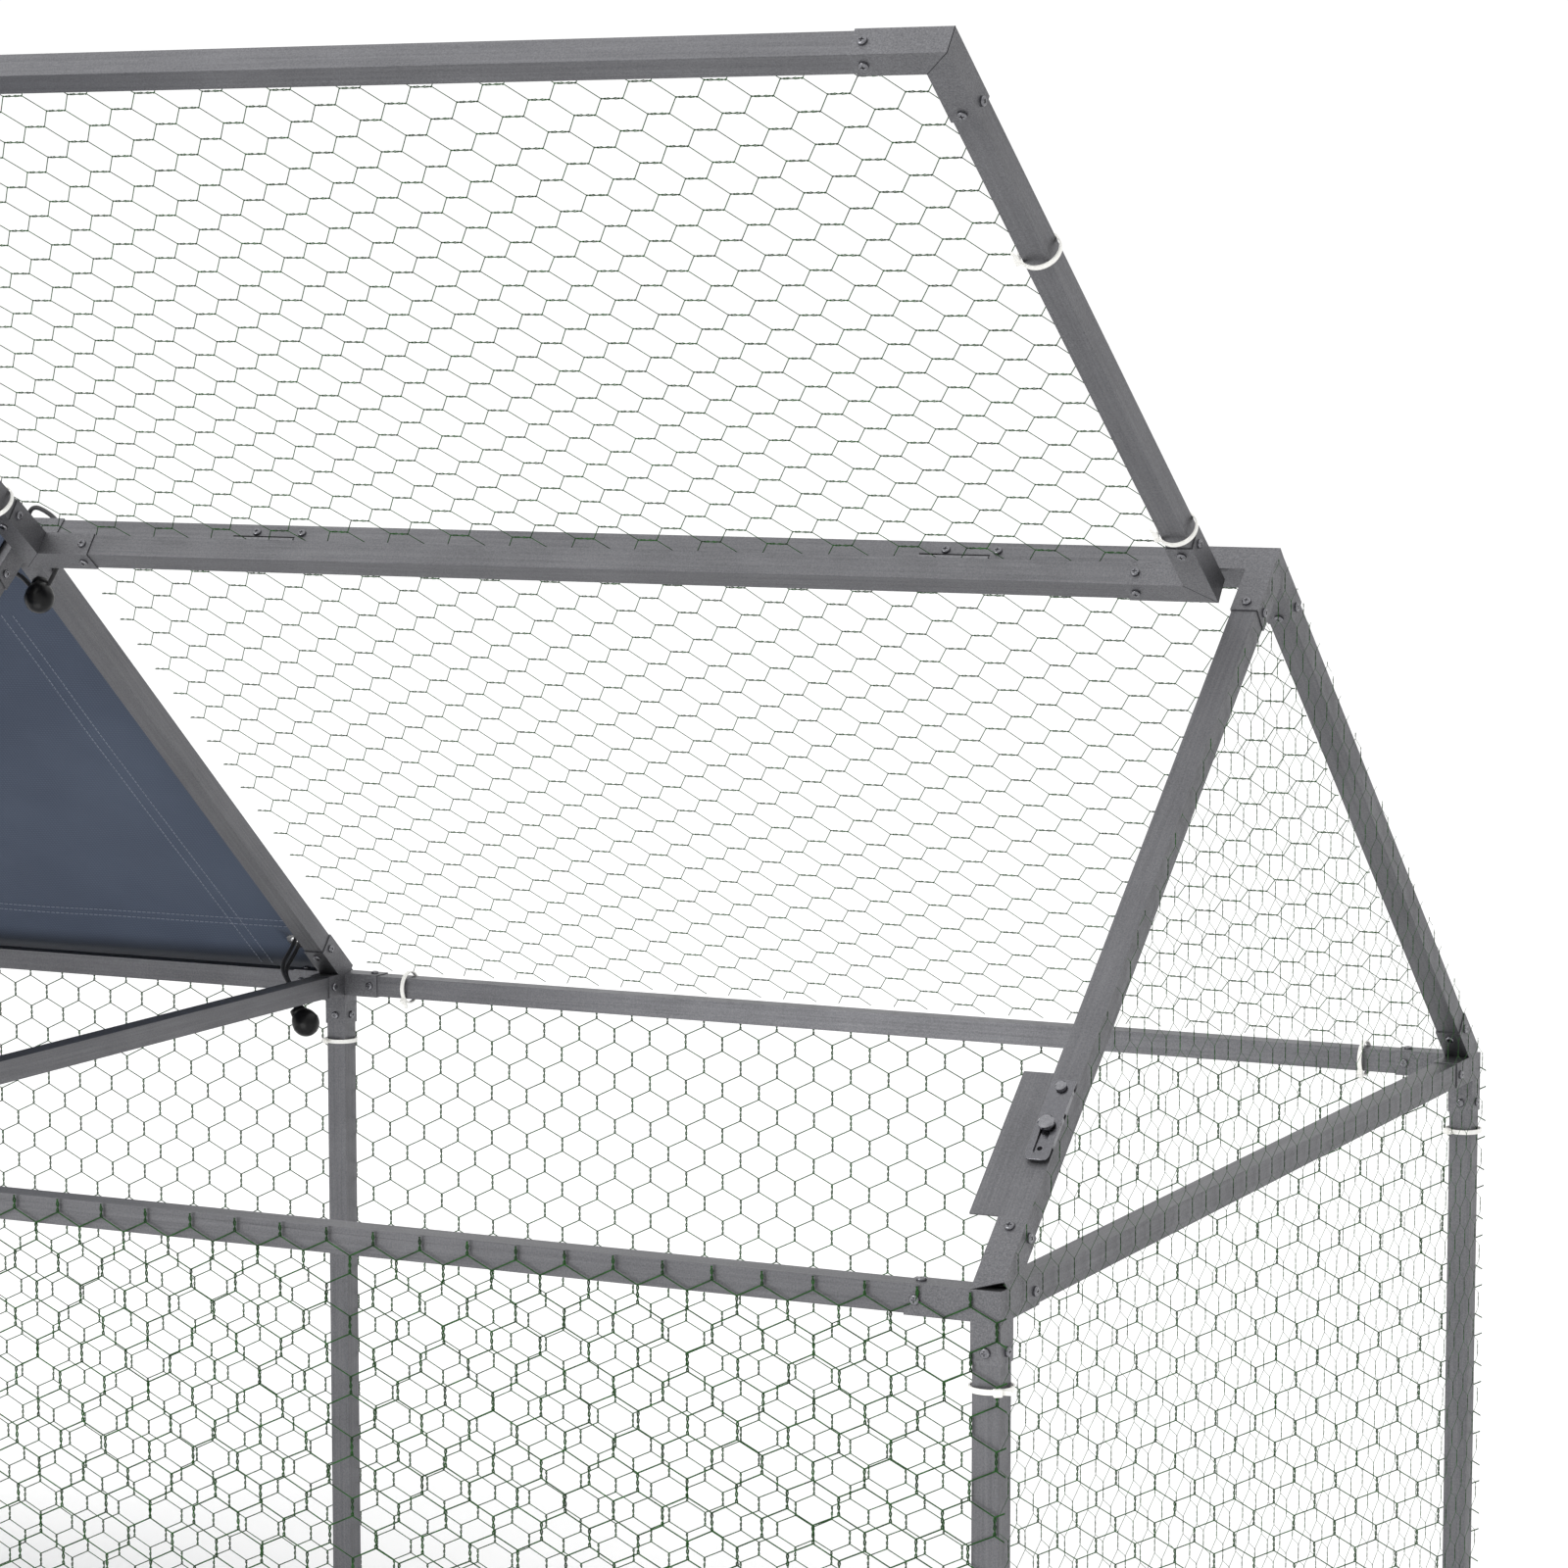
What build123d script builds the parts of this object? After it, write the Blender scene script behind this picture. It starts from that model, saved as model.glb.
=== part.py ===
from build123d import *
import math
import os
from collections import namedtuple

# Frame layout, from centre line to centre line
BAY = 1090.0
SPAN = 1010.0
EAVE_HEIGHT = 640.0
RIDGE_RISE = 442.0
RAFTER_LIFT = 6.0

# Square tube and the sleeves that it pushes into
TUBE = 19.0
TUBE_WALL = 0.9
TUBE_FIT = 0.15
SLEEVE_WALL = 0.85
SLEEVE_CORE = 1.5
SEAT_GAP = 0.5
RAIL_REACH = 57.0
TIE_REACH = 54.0
POST_REACH = 38.0
RAFTER_REACH = 55.0
MIDDLE_REACH = 45.0
MIDDLE_TIE_REACH = 38.0
RIDGE_REACH = 45.0
RIDGE_RAFTER_REACH = 54.0
RAFTER_MOUTH = 3.0

# Pan-head screws
SCREW_INSET = 8.0
SCREW_RADIUS = 1.6
SCREW_LENGTH = 5.0
SCREW_FIT = 0.15
HEAD_RADIUS = 3.5
HEAD_HEIGHT = 2.2
HEAD_ROUND = 1.2
RECESS_LENGTH = 3.6
RECESS_WIDTH = 0.8
RECESS_DEPTH = 1.0

# Roof lid, measured on its own rails, and its hinge axis seen from the ridge's centre
LID_LENGTH = 1015.0
LID_DEPTH = 597.0
LID_REACH = 58.0
LID_OPEN = 36.8
LID_DROP = 2.2
LID_EDGE = 1.0
AXIS_FORWARD = 15.0
AXIS_BELOW = 5.5

# Lid hinges
HINGE_OFFSET = 302.0
HINGE_LENGTH = 57.0
LEAF_THICK = 1.2
LID_LEAF_WIDTH = 16.0
LID_LEAF_SCREW_PITCH = 40.0
KNUCKLE_RADIUS = 1.8
KNUCKLE_LENGTH = 19.0
KNUCKLE_GAP = 0.5
PIN_RADIUS = 1.0
PIN_FIT = 0.05
LEAF_TAB = 3.4
LEAF_FLANGE = 11.0
LEAF_INSIDE_GAP = 0.2
SLOT_HEIGHT = 3.6
SLOT_CLEARANCE = 0.3
LEAF_SCREW_HEIGHT = 10.5
LEAF_SCREW_PITCH = 42.0
LEAF_SCREW_SHIFT = 13.0
LEAF_FLANGE_MARGIN = 6.0

# Stop plate beside the latch, measured down the rafter from the ridge
STOP_FROM = 468.0
STOP_LENGTH = 122.0
STOP_WIDTH = 37.0
STOP_THICK = 1.5
STOP_FLANGE_TOP = 8.0
STOP_CLEARANCE = 0.5
STOP_SCREW_MARGIN = 22.0

# Slide latch on the right front rafter, measured down the rafter from the ridge
LATCH_TOP = 499.0
LATCH_LENGTH = 68.0
LATCH_WIDTH = 17.0
LATCH_SHIFT = 1.0
LATCH_SHEET = 1.2
LATCH_CORNER = 5.0
LATCH_EDGE_ROUND = 0.5
LATCH_ROOM = 3.0
LATCH_TAB_TOP = 8.0
LATCH_TAB_LENGTHS = (19.0, 25.0)
LATCH_TAB_GAP = 4.0
LATCH_TRAVEL = 16.0
KNOB_FROM_TOP = 39.0
SLOT_WIDTH = 7.0
SLOT_RUN = 20.5
STUD_FROM_TOP = 7.0
PULL_HOLE_RADIUS = 1.8
PULL_HOLE_FROM_KNOB = 18.5
BOLT_WIDTH = 13.0
BOLT_THICK = 2.0
BOLT_FROM_TOP = 13.0
BOLT_LENGTH = 50.0
KNOB_STEM_RADIUS = 2.5
KNOB_RADIUS = 5.6
KNOB_HEIGHT = 3.5
KNOB_STANDOFF = 1.8
KNOB_ROUND = 1.2
STUD_NECK_RADIUS = 2.3
STUD_COLLAR_RADIUS = 3.2
STUD_COLLAR_HEIGHT = 1.6
STUD_HEAD_RADIUS = 3.9
STUD_HEAD_HEIGHT = 2.0
STUD_ROOT_RADIUS = 1.8
STUD_ROOT_LENGTH = 3.0
STUD_FIT = 0.3

# Hexagonal netting, drawn coarser than the wire it stands for
NET_PITCH = 72.0
NET_STRAND = 3.0
NET_THICK = 1.6
NET_RIM = 4.0
NET_LEAST_GAP = 80.0
NET_TIE_GAP = 0.3
ROOF_NET_RIDGE_GAP = 0.8
ROOF_NET_FROM_MIDDLE = 34.0

# Cable ties
TIE_GAP = 0.4
TIE_THICK = 1.2
TIE_WIDTH = 3.6
TIE_HEAD = 5.0
TIE_HEAD_HEIGHT = 4.0
POST_TIE_HEIGHT = 583.0
RAIL_TIE_FROM_MIDDLE = 74.5
RAIL_TIE_FROM_END = 87.0
LID_TIE_FROM_AXIS = (78.0, 402.0)

# Cover over the left bay, its eyelets and the ball bungees
COVER_LIFT = 13.4
COVER_THICK = 1.2
COVER_DOWN = 684.0
COVER_PAST_RAFTER = 2.0
EYELET_BORE = 6.5
EYELET_BARREL = 0.8
EYELET_FLANGE = 4.0
EYELET_SHEET = 0.8
EYELET_FIT = 0.3
EYELET_FROM_RAFTER = 36.0
EYELET_FROM_HEM = 52.0
EYELET_FROM_RIDGE = 45.0
CORD_RADIUS = 2.0
CORD_SPREAD = 4.0
CORD_LEAD = 12.0
CORD_BEND = 10.0
CORD_BOW = 38.0
CORD_FOLD = 3.95
CORD_INTO_BALL = 8.0
BALL_RADIUS = 12.5
BALL_BELOW_EAVE = 30.0
BALL_FROM_POST = 63.0
BALL_INSIDE_END = 15.0
BALL_BELOW_RIDGE = 52.0
RIDGE_BALL_PAST_RAFTER = 19.0
LEFT_RIDGE_BALL_INSIDE = 34.0
CORD_SIDE_GAP = 1.5
LOOP_OVER_EYELET = 18.0

# Turns of the loop over the middle rear rafter, seen from the ridge's centre at that rafter
LOOP_RISING = [(27, 18, -28), (24, 30, 2), (8, 36, 16), (-20, 44, 24)]
LOOP_RETURNING = [(-16, 14, -32), (2, 6, -37)]

# Values that follow from those above
SLEEVE = TUBE + 2 * (TUBE_FIT + SLEEVE_WALL)
HALF_TUBE = TUBE / 2
HALF_SLEEVE = SLEEVE / 2
BASE_HEIGHT = HALF_SLEEVE
RIDGE_HEIGHT = EAVE_HEIGHT + RIDGE_RISE
SLOPE = math.atan2(RIDGE_RISE - RAFTER_LIFT, SPAN / 2)
CORE_SEAT = HALF_SLEEVE + SLEEVE_CORE
RAFTER_SEAT = SLEEVE / (2 * math.tan(SLOPE / 2)) - RAFTER_LIFT * math.cos(SLOPE) + SEAT_GAP
TIE_INNER = HALF_TUBE * math.sqrt(2) + TIE_GAP
TIE_OUTER = TIE_INNER + TIE_THICK
TIED_NET_INSET = math.sqrt(TIE_OUTER**2 - (HALF_TUBE - NET_THICK) ** 2) + NET_TIE_GAP
FREE_NET_INSET = HALF_SLEEVE + NET_TIE_GAP
NET_INSET = max(TIED_NET_INSET, FREE_NET_INSET)

UP = Vector(0, 0, 1)
FORWARD = Vector(0, -1, 0)
RIGHT = Vector(1, 0, 0)
FRONT = -1
REAR = 1
STATIONS = {"left": -BAY, "middle": 0.0, "right": BAY}
SIDES = {"front": FRONT, "rear": REAR}

nodes = {}


def down_slope(side):
    """Unit vector down the front or rear slope of the roof."""
    return Vector(0, side * math.cos(SLOPE), -math.sin(SLOPE))


def slope_normal(side):
    """Unit vector square to that slope, pointing outwards."""
    return Vector(0, side * math.sin(SLOPE), math.cos(SLOPE))


def slope_plane(side, x=0.0, lift=0.0):
    """Plane on a slope with its origin at the ridge; Y runs up the front slope and down the rear one."""
    origin = Vector(x, 0, RIDGE_HEIGHT) + slope_normal(side) * lift
    return Plane(origin=origin, x_dir=RIGHT, z_dir=slope_normal(side))


def bar(start, end, side, across, hollow=0.0):
    """Square bar between two points, with one pair of faces square to the given direction."""
    section = Rectangle(side, side)
    if hollow:
        section -= Rectangle(hollow, hollow)
    run = end - start
    return extrude(Plane(origin=start, x_dir=across, z_dir=run) * section, amount=run.length)


# An arm of a connector: where its centre line starts, which way it points, its length, how far behind
# the start its outside begins, where its bore begins, where the tube's end sits and its screws' faces.
Arm = namedtuple("Arm", "root way reach back bore seat faces across")


def arm(root, way, reach, faces, back=HALF_SLEEVE, bore=CORE_SEAT, seat=CORE_SEAT + SEAT_GAP, across=None):
    if across is None:
        across = FORWARD if abs(way.X) > 0.5 else RIGHT
    return Arm(root, way, reach, back, bore, seat, faces, across)


def screw_places(one_arm):
    """Places on the sleeve's surface for the arm's screws, with Z pointing out of the face."""
    centre = one_arm.root + one_arm.way * (one_arm.reach - SCREW_INSET)
    return [Plane(origin=centre + face * HALF_SLEEVE, x_dir=one_arm.way, z_dir=face) for face in one_arm.faces]


def drilled(body, places, radius=SCREW_RADIUS + SCREW_FIT, depth=SCREW_LENGTH):
    """The body with a screw hole at each place."""
    hole = Pos(0, 0, -depth / 2) * Cylinder(radius, depth + 2 * SLEEVE_WALL)
    return body - [place * hole for place in places]


def pan_screw():
    """Pan-head screw with a cross recess; its head sits on the XY plane."""
    with BuildSketch(Plane.XZ) as half:
        with BuildLine():
            Polyline((0, HEAD_HEIGHT), (HEAD_RADIUS - HEAD_ROUND, HEAD_HEIGHT))
            RadiusArc((HEAD_RADIUS - HEAD_ROUND, HEAD_HEIGHT), (HEAD_RADIUS, HEAD_HEIGHT - HEAD_ROUND), HEAD_ROUND)
            Polyline(
                (HEAD_RADIUS, HEAD_HEIGHT - HEAD_ROUND),
                (HEAD_RADIUS, 0),
                (SCREW_RADIUS, 0),
                (SCREW_RADIUS, -SCREW_LENGTH),
                (0, -SCREW_LENGTH),
                (0, HEAD_HEIGHT),
            )
        make_face()
    body = revolve(half.sketch, axis=Axis.Z)
    recess = Box(RECESS_LENGTH, RECESS_WIDTH, 2 * RECESS_DEPTH) + Box(RECESS_WIDTH, RECESS_LENGTH, 2 * RECESS_DEPTH)
    return body - Pos(0, 0, HEAD_HEIGHT) * recess


SCREW = pan_screw()


def sleeve(arms):
    """Connector: square sleeves that meet at a node, bored for the tubes and drilled for the screws."""
    outside = [bar(a.root - a.way * a.back, a.root + a.way * a.reach, SLEEVE, a.across) for a in arms]
    bore = TUBE + 2 * TUBE_FIT
    bores = [bar(a.root + a.way * a.bore, a.root + a.way * (a.reach + SEAT_GAP), bore, a.across) for a in arms]
    body = outside[0] + outside[1:] - bores
    return drilled(body, [place for a in arms for place in screw_places(a)])


def tube(one, other):
    """Hollow square tube from its seat in one arm to its seat in the other."""
    start = one.root + one.way * one.seat
    end = other.root + other.way * other.seat
    body = bar(start, end, TUBE, one.across, TUBE - 2 * TUBE_WALL)
    return drilled(body, screw_places(one) + screw_places(other))


def outward_end(x):
    """The way out of the cage along its length at a station."""
    return -RIGHT if x < 0 else RIGHT


def rail_ways(x):
    """The ways that rails leave a station along the length."""
    return [way for way in (-RIGHT, RIGHT) if abs(x + way.X) < BAY]


def eave_arms(x, side):
    """Arms of the connector at the head of a post."""
    node = Vector(x, side * SPAN / 2, EAVE_HEIGHT)
    foot = node + UP * RAFTER_LIFT
    end = outward_end(x)
    seen_face = slope_normal(side) * -side
    arms = {
        "post": arm(node, -UP, POST_REACH, [FORWARD, end]),
        "tie": arm(node, FORWARD * side, TIE_REACH if x else MIDDLE_TIE_REACH, [end, -UP]),
        "rafter": arm(
            foot, -down_slope(side), RAFTER_REACH, [end, seen_face], -RAFTER_MOUTH, RAFTER_MOUTH, RAFTER_SEAT
        ),
    }
    reach = RAIL_REACH if x else MIDDLE_REACH
    for way in rail_ways(x):
        arms[way.X] = arm(node, way, reach, [FORWARD, UP])
    return arms


def ridge_arms(x):
    """Arms of the connector at the ridge; the ridge tube stands on edge."""
    node = Vector(x, 0, RIDGE_HEIGHT)
    upper_rear = Vector(0, 1, 1).normalized()
    arms = {}
    for way in rail_ways(x):
        back = HALF_SLEEVE if x else 0.0
        arms[way.X] = arm(node, way, RIDGE_REACH, [upper_rear], back, across=upper_rear)
    for side in SIDES.values():
        faces = [outward_end(x), slope_normal(side) * -side]
        arms[side, "rafter"] = arm(node, down_slope(side), RIDGE_RAFTER_REACH, faces, 0.0)
    return arms


def base_arms(x, side):
    """Arms of the connector at the foot of a post."""
    node = Vector(x, side * SPAN / 2, BASE_HEIGHT)
    arms = {"post": arm(node, UP, POST_REACH, [FORWARD, outward_end(x)])}
    if x:
        arms["end"] = arm(node, FORWARD * side, RAIL_REACH, [outward_end(x), UP])
    for way in rail_ways(x):
        arms[way.X] = arm(node, way, RAIL_REACH if x else MIDDLE_REACH, [FORWARD, UP])
    return arms


EAVES = {(s, d): eave_arms(x, side) for s, x in STATIONS.items() for d, side in SIDES.items()}
BASES = {(s, d): base_arms(x, side) for s, x in STATIONS.items() for d, side in SIDES.items()}
RIDGES = {s: ridge_arms(x) for s, x in STATIONS.items()}
ENDS = ("left", "right")


def frame_connectors():
    """Sleeve connectors of the frame, alike ones together."""
    corners = [(s, d) for s in ENDS for d in SIDES]
    middles = [("middle", d) for d in SIDES]
    groups = {
        "eave_corner_sleeves": [EAVES[key] for key in corners],
        "eave_middle_sleeves": [EAVES[key] for key in middles],
        "ridge_end_sleeves": [RIDGES[s] for s in ENDS],
        "ridge_middle_sleeve": [RIDGES["middle"]],
        "base_corner_sleeves": [BASES[key] for key in corners],
        "base_middle_sleeves": [BASES[key] for key in middles],
    }
    for name, group in groups.items():
        nodes[name] = [sleeve(list(arms.values())) for arms in group]


def frame_tubes():
    """Posts, rails, rafters and ridge tubes."""
    for (station, side_name), arms in EAVES.items():
        base = BASES[station, side_name]
        side = SIDES[side_name]
        nodes[f"{side_name}_{station}_post"] = [tube(base["post"], arms["post"])]
        nodes[f"{side_name}_{station}_rafter"] = [tube(RIDGES[station][side, "rafter"], arms["rafter"])]
    for side_name in SIDES:
        for end in ENDS:
            inner = -1.0 if end == "left" else 1.0
            for level, joints in (("eave", EAVES), ("base", BASES)):
                middle_arm = joints["middle", side_name][inner]
                end_arm = joints[end, side_name][-inner]
                nodes[f"{side_name}_{end}_{level}_rail"] = [tube(middle_arm, end_arm)]
    for end in ENDS:
        inner = -1.0 if end == "left" else 1.0
        nodes[f"{end}_ridge_tube"] = [tube(RIDGES["middle"][inner], RIDGES[end][-inner])]
        nodes[f"{end}_end_rail"] = [tube(EAVES[end, "front"]["tie"], EAVES[end, "rear"]["tie"])]
        nodes[f"{end}_base_end_rail"] = [tube(BASES[end, "front"]["end"], BASES[end, "rear"]["end"])]
    nodes["middle_tie_rail"] = [tube(EAVES["middle", "front"]["tie"], EAVES["middle", "rear"]["tie"])]


def frame_screws():
    """Every screw of the frame's connectors."""
    joints = list(EAVES.values()) + list(BASES.values()) + list(RIDGES.values())
    places = [place for arms in joints for one_arm in arms.values() for place in screw_places(one_arm)]
    nodes["frame_screws"] = [place * SCREW for place in places]


# The lid is drawn flat with its hinge axis along X and its free edge towards the front.
AXIS = Vector(BAY / 2, -AXIS_FORWARD, RIDGE_HEIGHT - AXIS_BELOW)
LID_PLACE = Location(tuple(AXIS), (-LID_OPEN, 0, 0))
LID_TOP = -LID_DROP
LID_MID = LID_TOP - HALF_TUBE
LID_HINGE_RAIL = LID_EDGE - HALF_TUBE
LID_FREE_RAIL = LID_HINGE_RAIL - LID_DEPTH


def lid_arms(x_way, y_way):
    """Arms of one corner of the lid."""
    y = LID_HINGE_RAIL if y_way > 0 else LID_FREE_RAIL
    node = Vector(x_way * LID_LENGTH / 2, y, LID_MID)
    along = arm(node, RIGHT * -x_way, LID_REACH, [-UP, FORWARD])
    down = arm(node, FORWARD * y_way, LID_REACH, [-UP, RIGHT])
    return along, down


LID_CORNERS = {(x_way, y_way): lid_arms(x_way, y_way) for x_way in (-1, 1) for y_way in (-1, 1)}


def lid_leaf_places():
    """Places of the screws that hold the hinge leaves on the lid's hinge rail."""
    top = LID_TOP + LEAF_THICK
    xs = [h + p for h in (-HINGE_OFFSET, HINGE_OFFSET) for p in (-LID_LEAF_SCREW_PITCH / 2, LID_LEAF_SCREW_PITCH / 2)]
    return [Plane(origin=(x, LID_HINGE_RAIL, top), x_dir=RIGHT, z_dir=UP) for x in xs]


def lid():
    """Rails, corner sleeves, netting, ties and screws of the lid."""
    hinge_rail = tube(LID_CORNERS[-1, 1][0], LID_CORNERS[1, 1][0])
    pieces = {
        "lid_hinge_rail": [drilled(hinge_rail, lid_leaf_places())],
        "lid_front_rail": [tube(LID_CORNERS[-1, -1][0], LID_CORNERS[1, -1][0])],
        "lid_left_rail": [tube(LID_CORNERS[-1, 1][1], LID_CORNERS[-1, -1][1])],
        "lid_right_rail": [tube(LID_CORNERS[1, 1][1], LID_CORNERS[1, -1][1])],
        "lid_corner_sleeves": [sleeve(list(arms)) for arms in LID_CORNERS.values()],
    }
    half = LID_LENGTH / 2 - NET_INSET
    low = LID_FREE_RAIL + NET_INSET
    high = LID_HINGE_RAIL - NET_INSET
    outline = [(-half, low), (half, low), (half, high), (-half, high)]
    pieces["lid_netting"] = [net(outline, Plane(origin=(0, 0, LID_TOP)), True)]
    ties = []
    for x_way in (-1, 1):
        for distance in LID_TIE_FROM_AXIS:
            centre = Vector(x_way * LID_LENGTH / 2, -distance, LID_MID)
            ties.append(cable_tie(centre, FORWARD, Vector(-x_way, 0, -1)))
    pieces["lid_cable_ties"] = ties
    places = [place for arms in LID_CORNERS.values() for one_arm in arms for place in screw_places(one_arm)]
    pieces["lid_screws"] = [place * SCREW for place in places + lid_leaf_places()]
    for name, solids in pieces.items():
        nodes[name] = [LID_PLACE * solid for solid in solids]


def clipped(points, edges):
    """The part of a convex polygon inside a set of edges, each a point and its inward direction."""
    for origin, inward in edges:
        kept = []
        for a, b in zip(points, points[1:] + points[:1]):
            depth_a = (a - origin).dot(inward)
            depth_b = (b - origin).dot(inward)
            if depth_a >= 0:
                kept.append(a)
            if depth_a * depth_b < 0:
                kept.append(a + (b - a) * (depth_a / (depth_a - depth_b)))
        points = kept
    return points


def area(points):
    """Area of a polygon in the XY plane."""
    return sum(a.X * b.Y - b.X * a.Y for a, b in zip(points, points[1:] + points[:1])) / 2


def net(outline, plane, twists_along_x):
    """Flat netting inside a convex outline, with hexagonal gaps; its outer face lies on the plane."""
    corners = [Vector(x, y) for x, y in outline]
    edges = []
    for a, b in zip(corners, corners[1:] + corners[:1]):
        inward = Vector(a.Y - b.Y, b.X - a.X).normalized()
        edges.append((a + inward * NET_RIM, inward))
    row = NET_PITCH * math.sqrt(3) / 2
    reach = max(corner.length for corner in corners)
    count = math.ceil(reach / row) + 1
    radius = (NET_PITCH - NET_STRAND) / math.sqrt(3)
    turn = 0 if twists_along_x else 30
    gap = [Vector(radius, 0).rotate(Axis.Z, turn + 60 * k) for k in range(6)]
    holes = []
    for j in range(-count, count + 1):
        for i in range(-count, count + 1):
            across = (i + (j % 2) / 2) * NET_PITCH
            centre = Vector(j * row, across) if twists_along_x else Vector(across, j * row)
            hole = clipped([centre + corner for corner in gap], edges)
            if len(hole) > 2 and area(hole) > NET_LEAST_GAP:
                holes.append(hole)
    face = Face(Wire.make_polygon(corners), [Wire.make_polygon(hole) for hole in holes])
    return plane * extrude(face, amount=-NET_THICK)


def wall_netting():
    """Front and rear walls, a piece to each bay, and the two ends with their gables."""
    low = BASE_HEIGHT + NET_INSET
    high = EAVE_HEIGHT - NET_INSET
    half = BAY / 2 - NET_INSET
    wall = [(-half, low), (half, low), (half, high), (-half, high)]
    for name, side in SIDES.items():
        pieces = []
        for x in (-BAY / 2, BAY / 2):
            origin = (x, side * (SPAN / 2 + HALF_TUBE), 0)
            plane = Plane(origin=origin, x_dir=RIGHT * -side, z_dir=FORWARD * -side)
            pieces.append(net(wall, plane, False))
        nodes[f"{name}_wall_netting"] = pieces
    half = SPAN / 2 - NET_INSET
    end_wall = [(-half, low), (half, low), (half, high), (-half, high)]
    foot = EAVE_HEIGHT + FREE_NET_INSET
    peak = RIDGE_HEIGHT - FREE_NET_INSET / math.cos(SLOPE)
    half = (peak - foot) / math.tan(SLOPE)
    gable = [(-half, foot), (half, foot), (0, peak)]
    for end in ENDS:
        out = outward_end(STATIONS[end])
        plane = Plane(origin=out * (BAY + HALF_TUBE), x_dir=FORWARD * -out.X, z_dir=out)
        nodes[f"{end}_end_netting"] = [net(end_wall, plane, False), net(gable, plane, False)]


def roof_netting():
    """Rear slope of the right bay."""
    near = ROOF_NET_FROM_MIDDLE - BAY / 2
    far = BAY / 2 - NET_INSET
    high = HALF_SLEEVE * math.sqrt(2) * math.cos(SLOPE) + ROOF_NET_RIDGE_GAP
    rail = Vector(0, SPAN / 2, EAVE_HEIGHT - RIDGE_HEIGHT)
    above_rail = HALF_TUBE - NET_THICK - rail.dot(slope_normal(REAR))
    low = rail.dot(down_slope(REAR)) - math.sqrt(TIE_OUTER**2 - above_rail**2) - NET_TIE_GAP
    outline = [(near, high), (far, high), (far, low), (near, low)]
    nodes["rear_roof_netting"] = [net(outline, slope_plane(REAR, BAY / 2, HALF_TUBE), True)]


def cable_tie(centre, along, head_way):
    """Round loop about a tube with its locking head on one side."""
    plane = Plane(origin=centre, x_dir=head_way, z_dir=along)
    middle = TIE_INNER + TIE_HEAD_HEIGHT / 2
    body = Cylinder(TIE_OUTER, TIE_WIDTH) + Pos(middle, 0, 0) * Box(TIE_HEAD_HEIGHT, TIE_HEAD, TIE_HEAD)
    return plane * (body - Cylinder(TIE_INNER, 2 * TIE_HEAD))


def frame_ties():
    """Ties on the posts and on the rear eave rail under the roof netting."""
    ties = []
    for x in STATIONS.values():
        for side in SIDES.values():
            inside = FORWARD * side - (outward_end(x) if x else Vector())
            ties.append(cable_tie(Vector(x, side * SPAN / 2, POST_TIE_HEIGHT), UP, inside))
    for x in (RAIL_TIE_FROM_MIDDLE, BAY - RAIL_TIE_FROM_END):
        ties.append(cable_tie(Vector(x, SPAN / 2, EAVE_HEIGHT), RIGHT, FORWARD - UP))
    nodes["frame_cable_ties"] = ties


# The ridge's upper front face: X up the face from the tube's front edge, Y out of the face, Z along the ridge.
RIDGE_FACE = Plane(
    origin=(0, -HALF_TUBE * math.sqrt(2), RIDGE_HEIGHT), x_dir=Vector(0, 1, 1).normalized(), z_dir=RIGHT
)


def span_block(plane, low, high, x_from, x_to):
    """Block between two corners of a plane's XY, over a stretch along its Z."""
    size = (high[0] - low[0], high[1] - low[1], x_to - x_from)
    centre = ((low[0] + high[0]) / 2, (low[1] + high[1]) / 2, (x_from + x_to) / 2)
    return plane * Pos(*centre) * Box(*size)


def hinge_frame_leaf(x):
    """Leaf hooked through the ridge's slot and screwed from outside, with its two outer knuckles."""
    plane = RIDGE_FACE.offset(x)
    half = HINGE_LENGTH / 2
    inner = KNUCKLE_LENGTH / 2 + KNUCKLE_GAP
    tab_top = LEAF_TAB + LEAF_THICK
    inside = -TUBE_WALL - LEAF_INSIDE_GAP
    axis = plane.to_local_coords(Vector(x, AXIS.Y, AXIS.Z))
    bend = axis.X / 2
    flange_from = LEAF_SCREW_SHIFT - LEAF_SCREW_PITCH / 2 - LEAF_FLANGE_MARGIN
    flange_to = LEAF_SCREW_SHIFT + LEAF_SCREW_PITCH / 2 + LEAF_FLANGE_MARGIN
    leaf = span_block(plane, (bend, 0), (tab_top, LEAF_THICK), -half, half)
    leaf += span_block(plane, (LEAF_TAB, inside - LEAF_THICK), (tab_top, LEAF_THICK), flange_from, half)
    flange_top = LEAF_TAB + LEAF_FLANGE
    leaf += span_block(plane, (LEAF_TAB, inside - LEAF_THICK), (flange_top, inside), flange_from, flange_to)
    with BuildSketch() as knuckle:
        with BuildLine():
            Polyline((bend, LEAF_THICK / 2), (axis.X, axis.Y))
        trace(line_width=LEAF_THICK)
        with Locations((bend, LEAF_THICK / 2)):
            Circle(LEAF_THICK / 2)
        with Locations((axis.X, axis.Y)):
            Circle(KNUCKLE_RADIUS)
    for start, end in ((-half, -inner), (inner, half)):
        leaf += plane * Pos(0, 0, start) * extrude(knuckle.sketch, amount=end - start)
    bore = Pos(axis.X, axis.Y, 0) * Cylinder(PIN_RADIUS + PIN_FIT, 2 * HINGE_LENGTH)
    return drilled(leaf - plane * bore, ridge_leaf_places(x))


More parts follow.
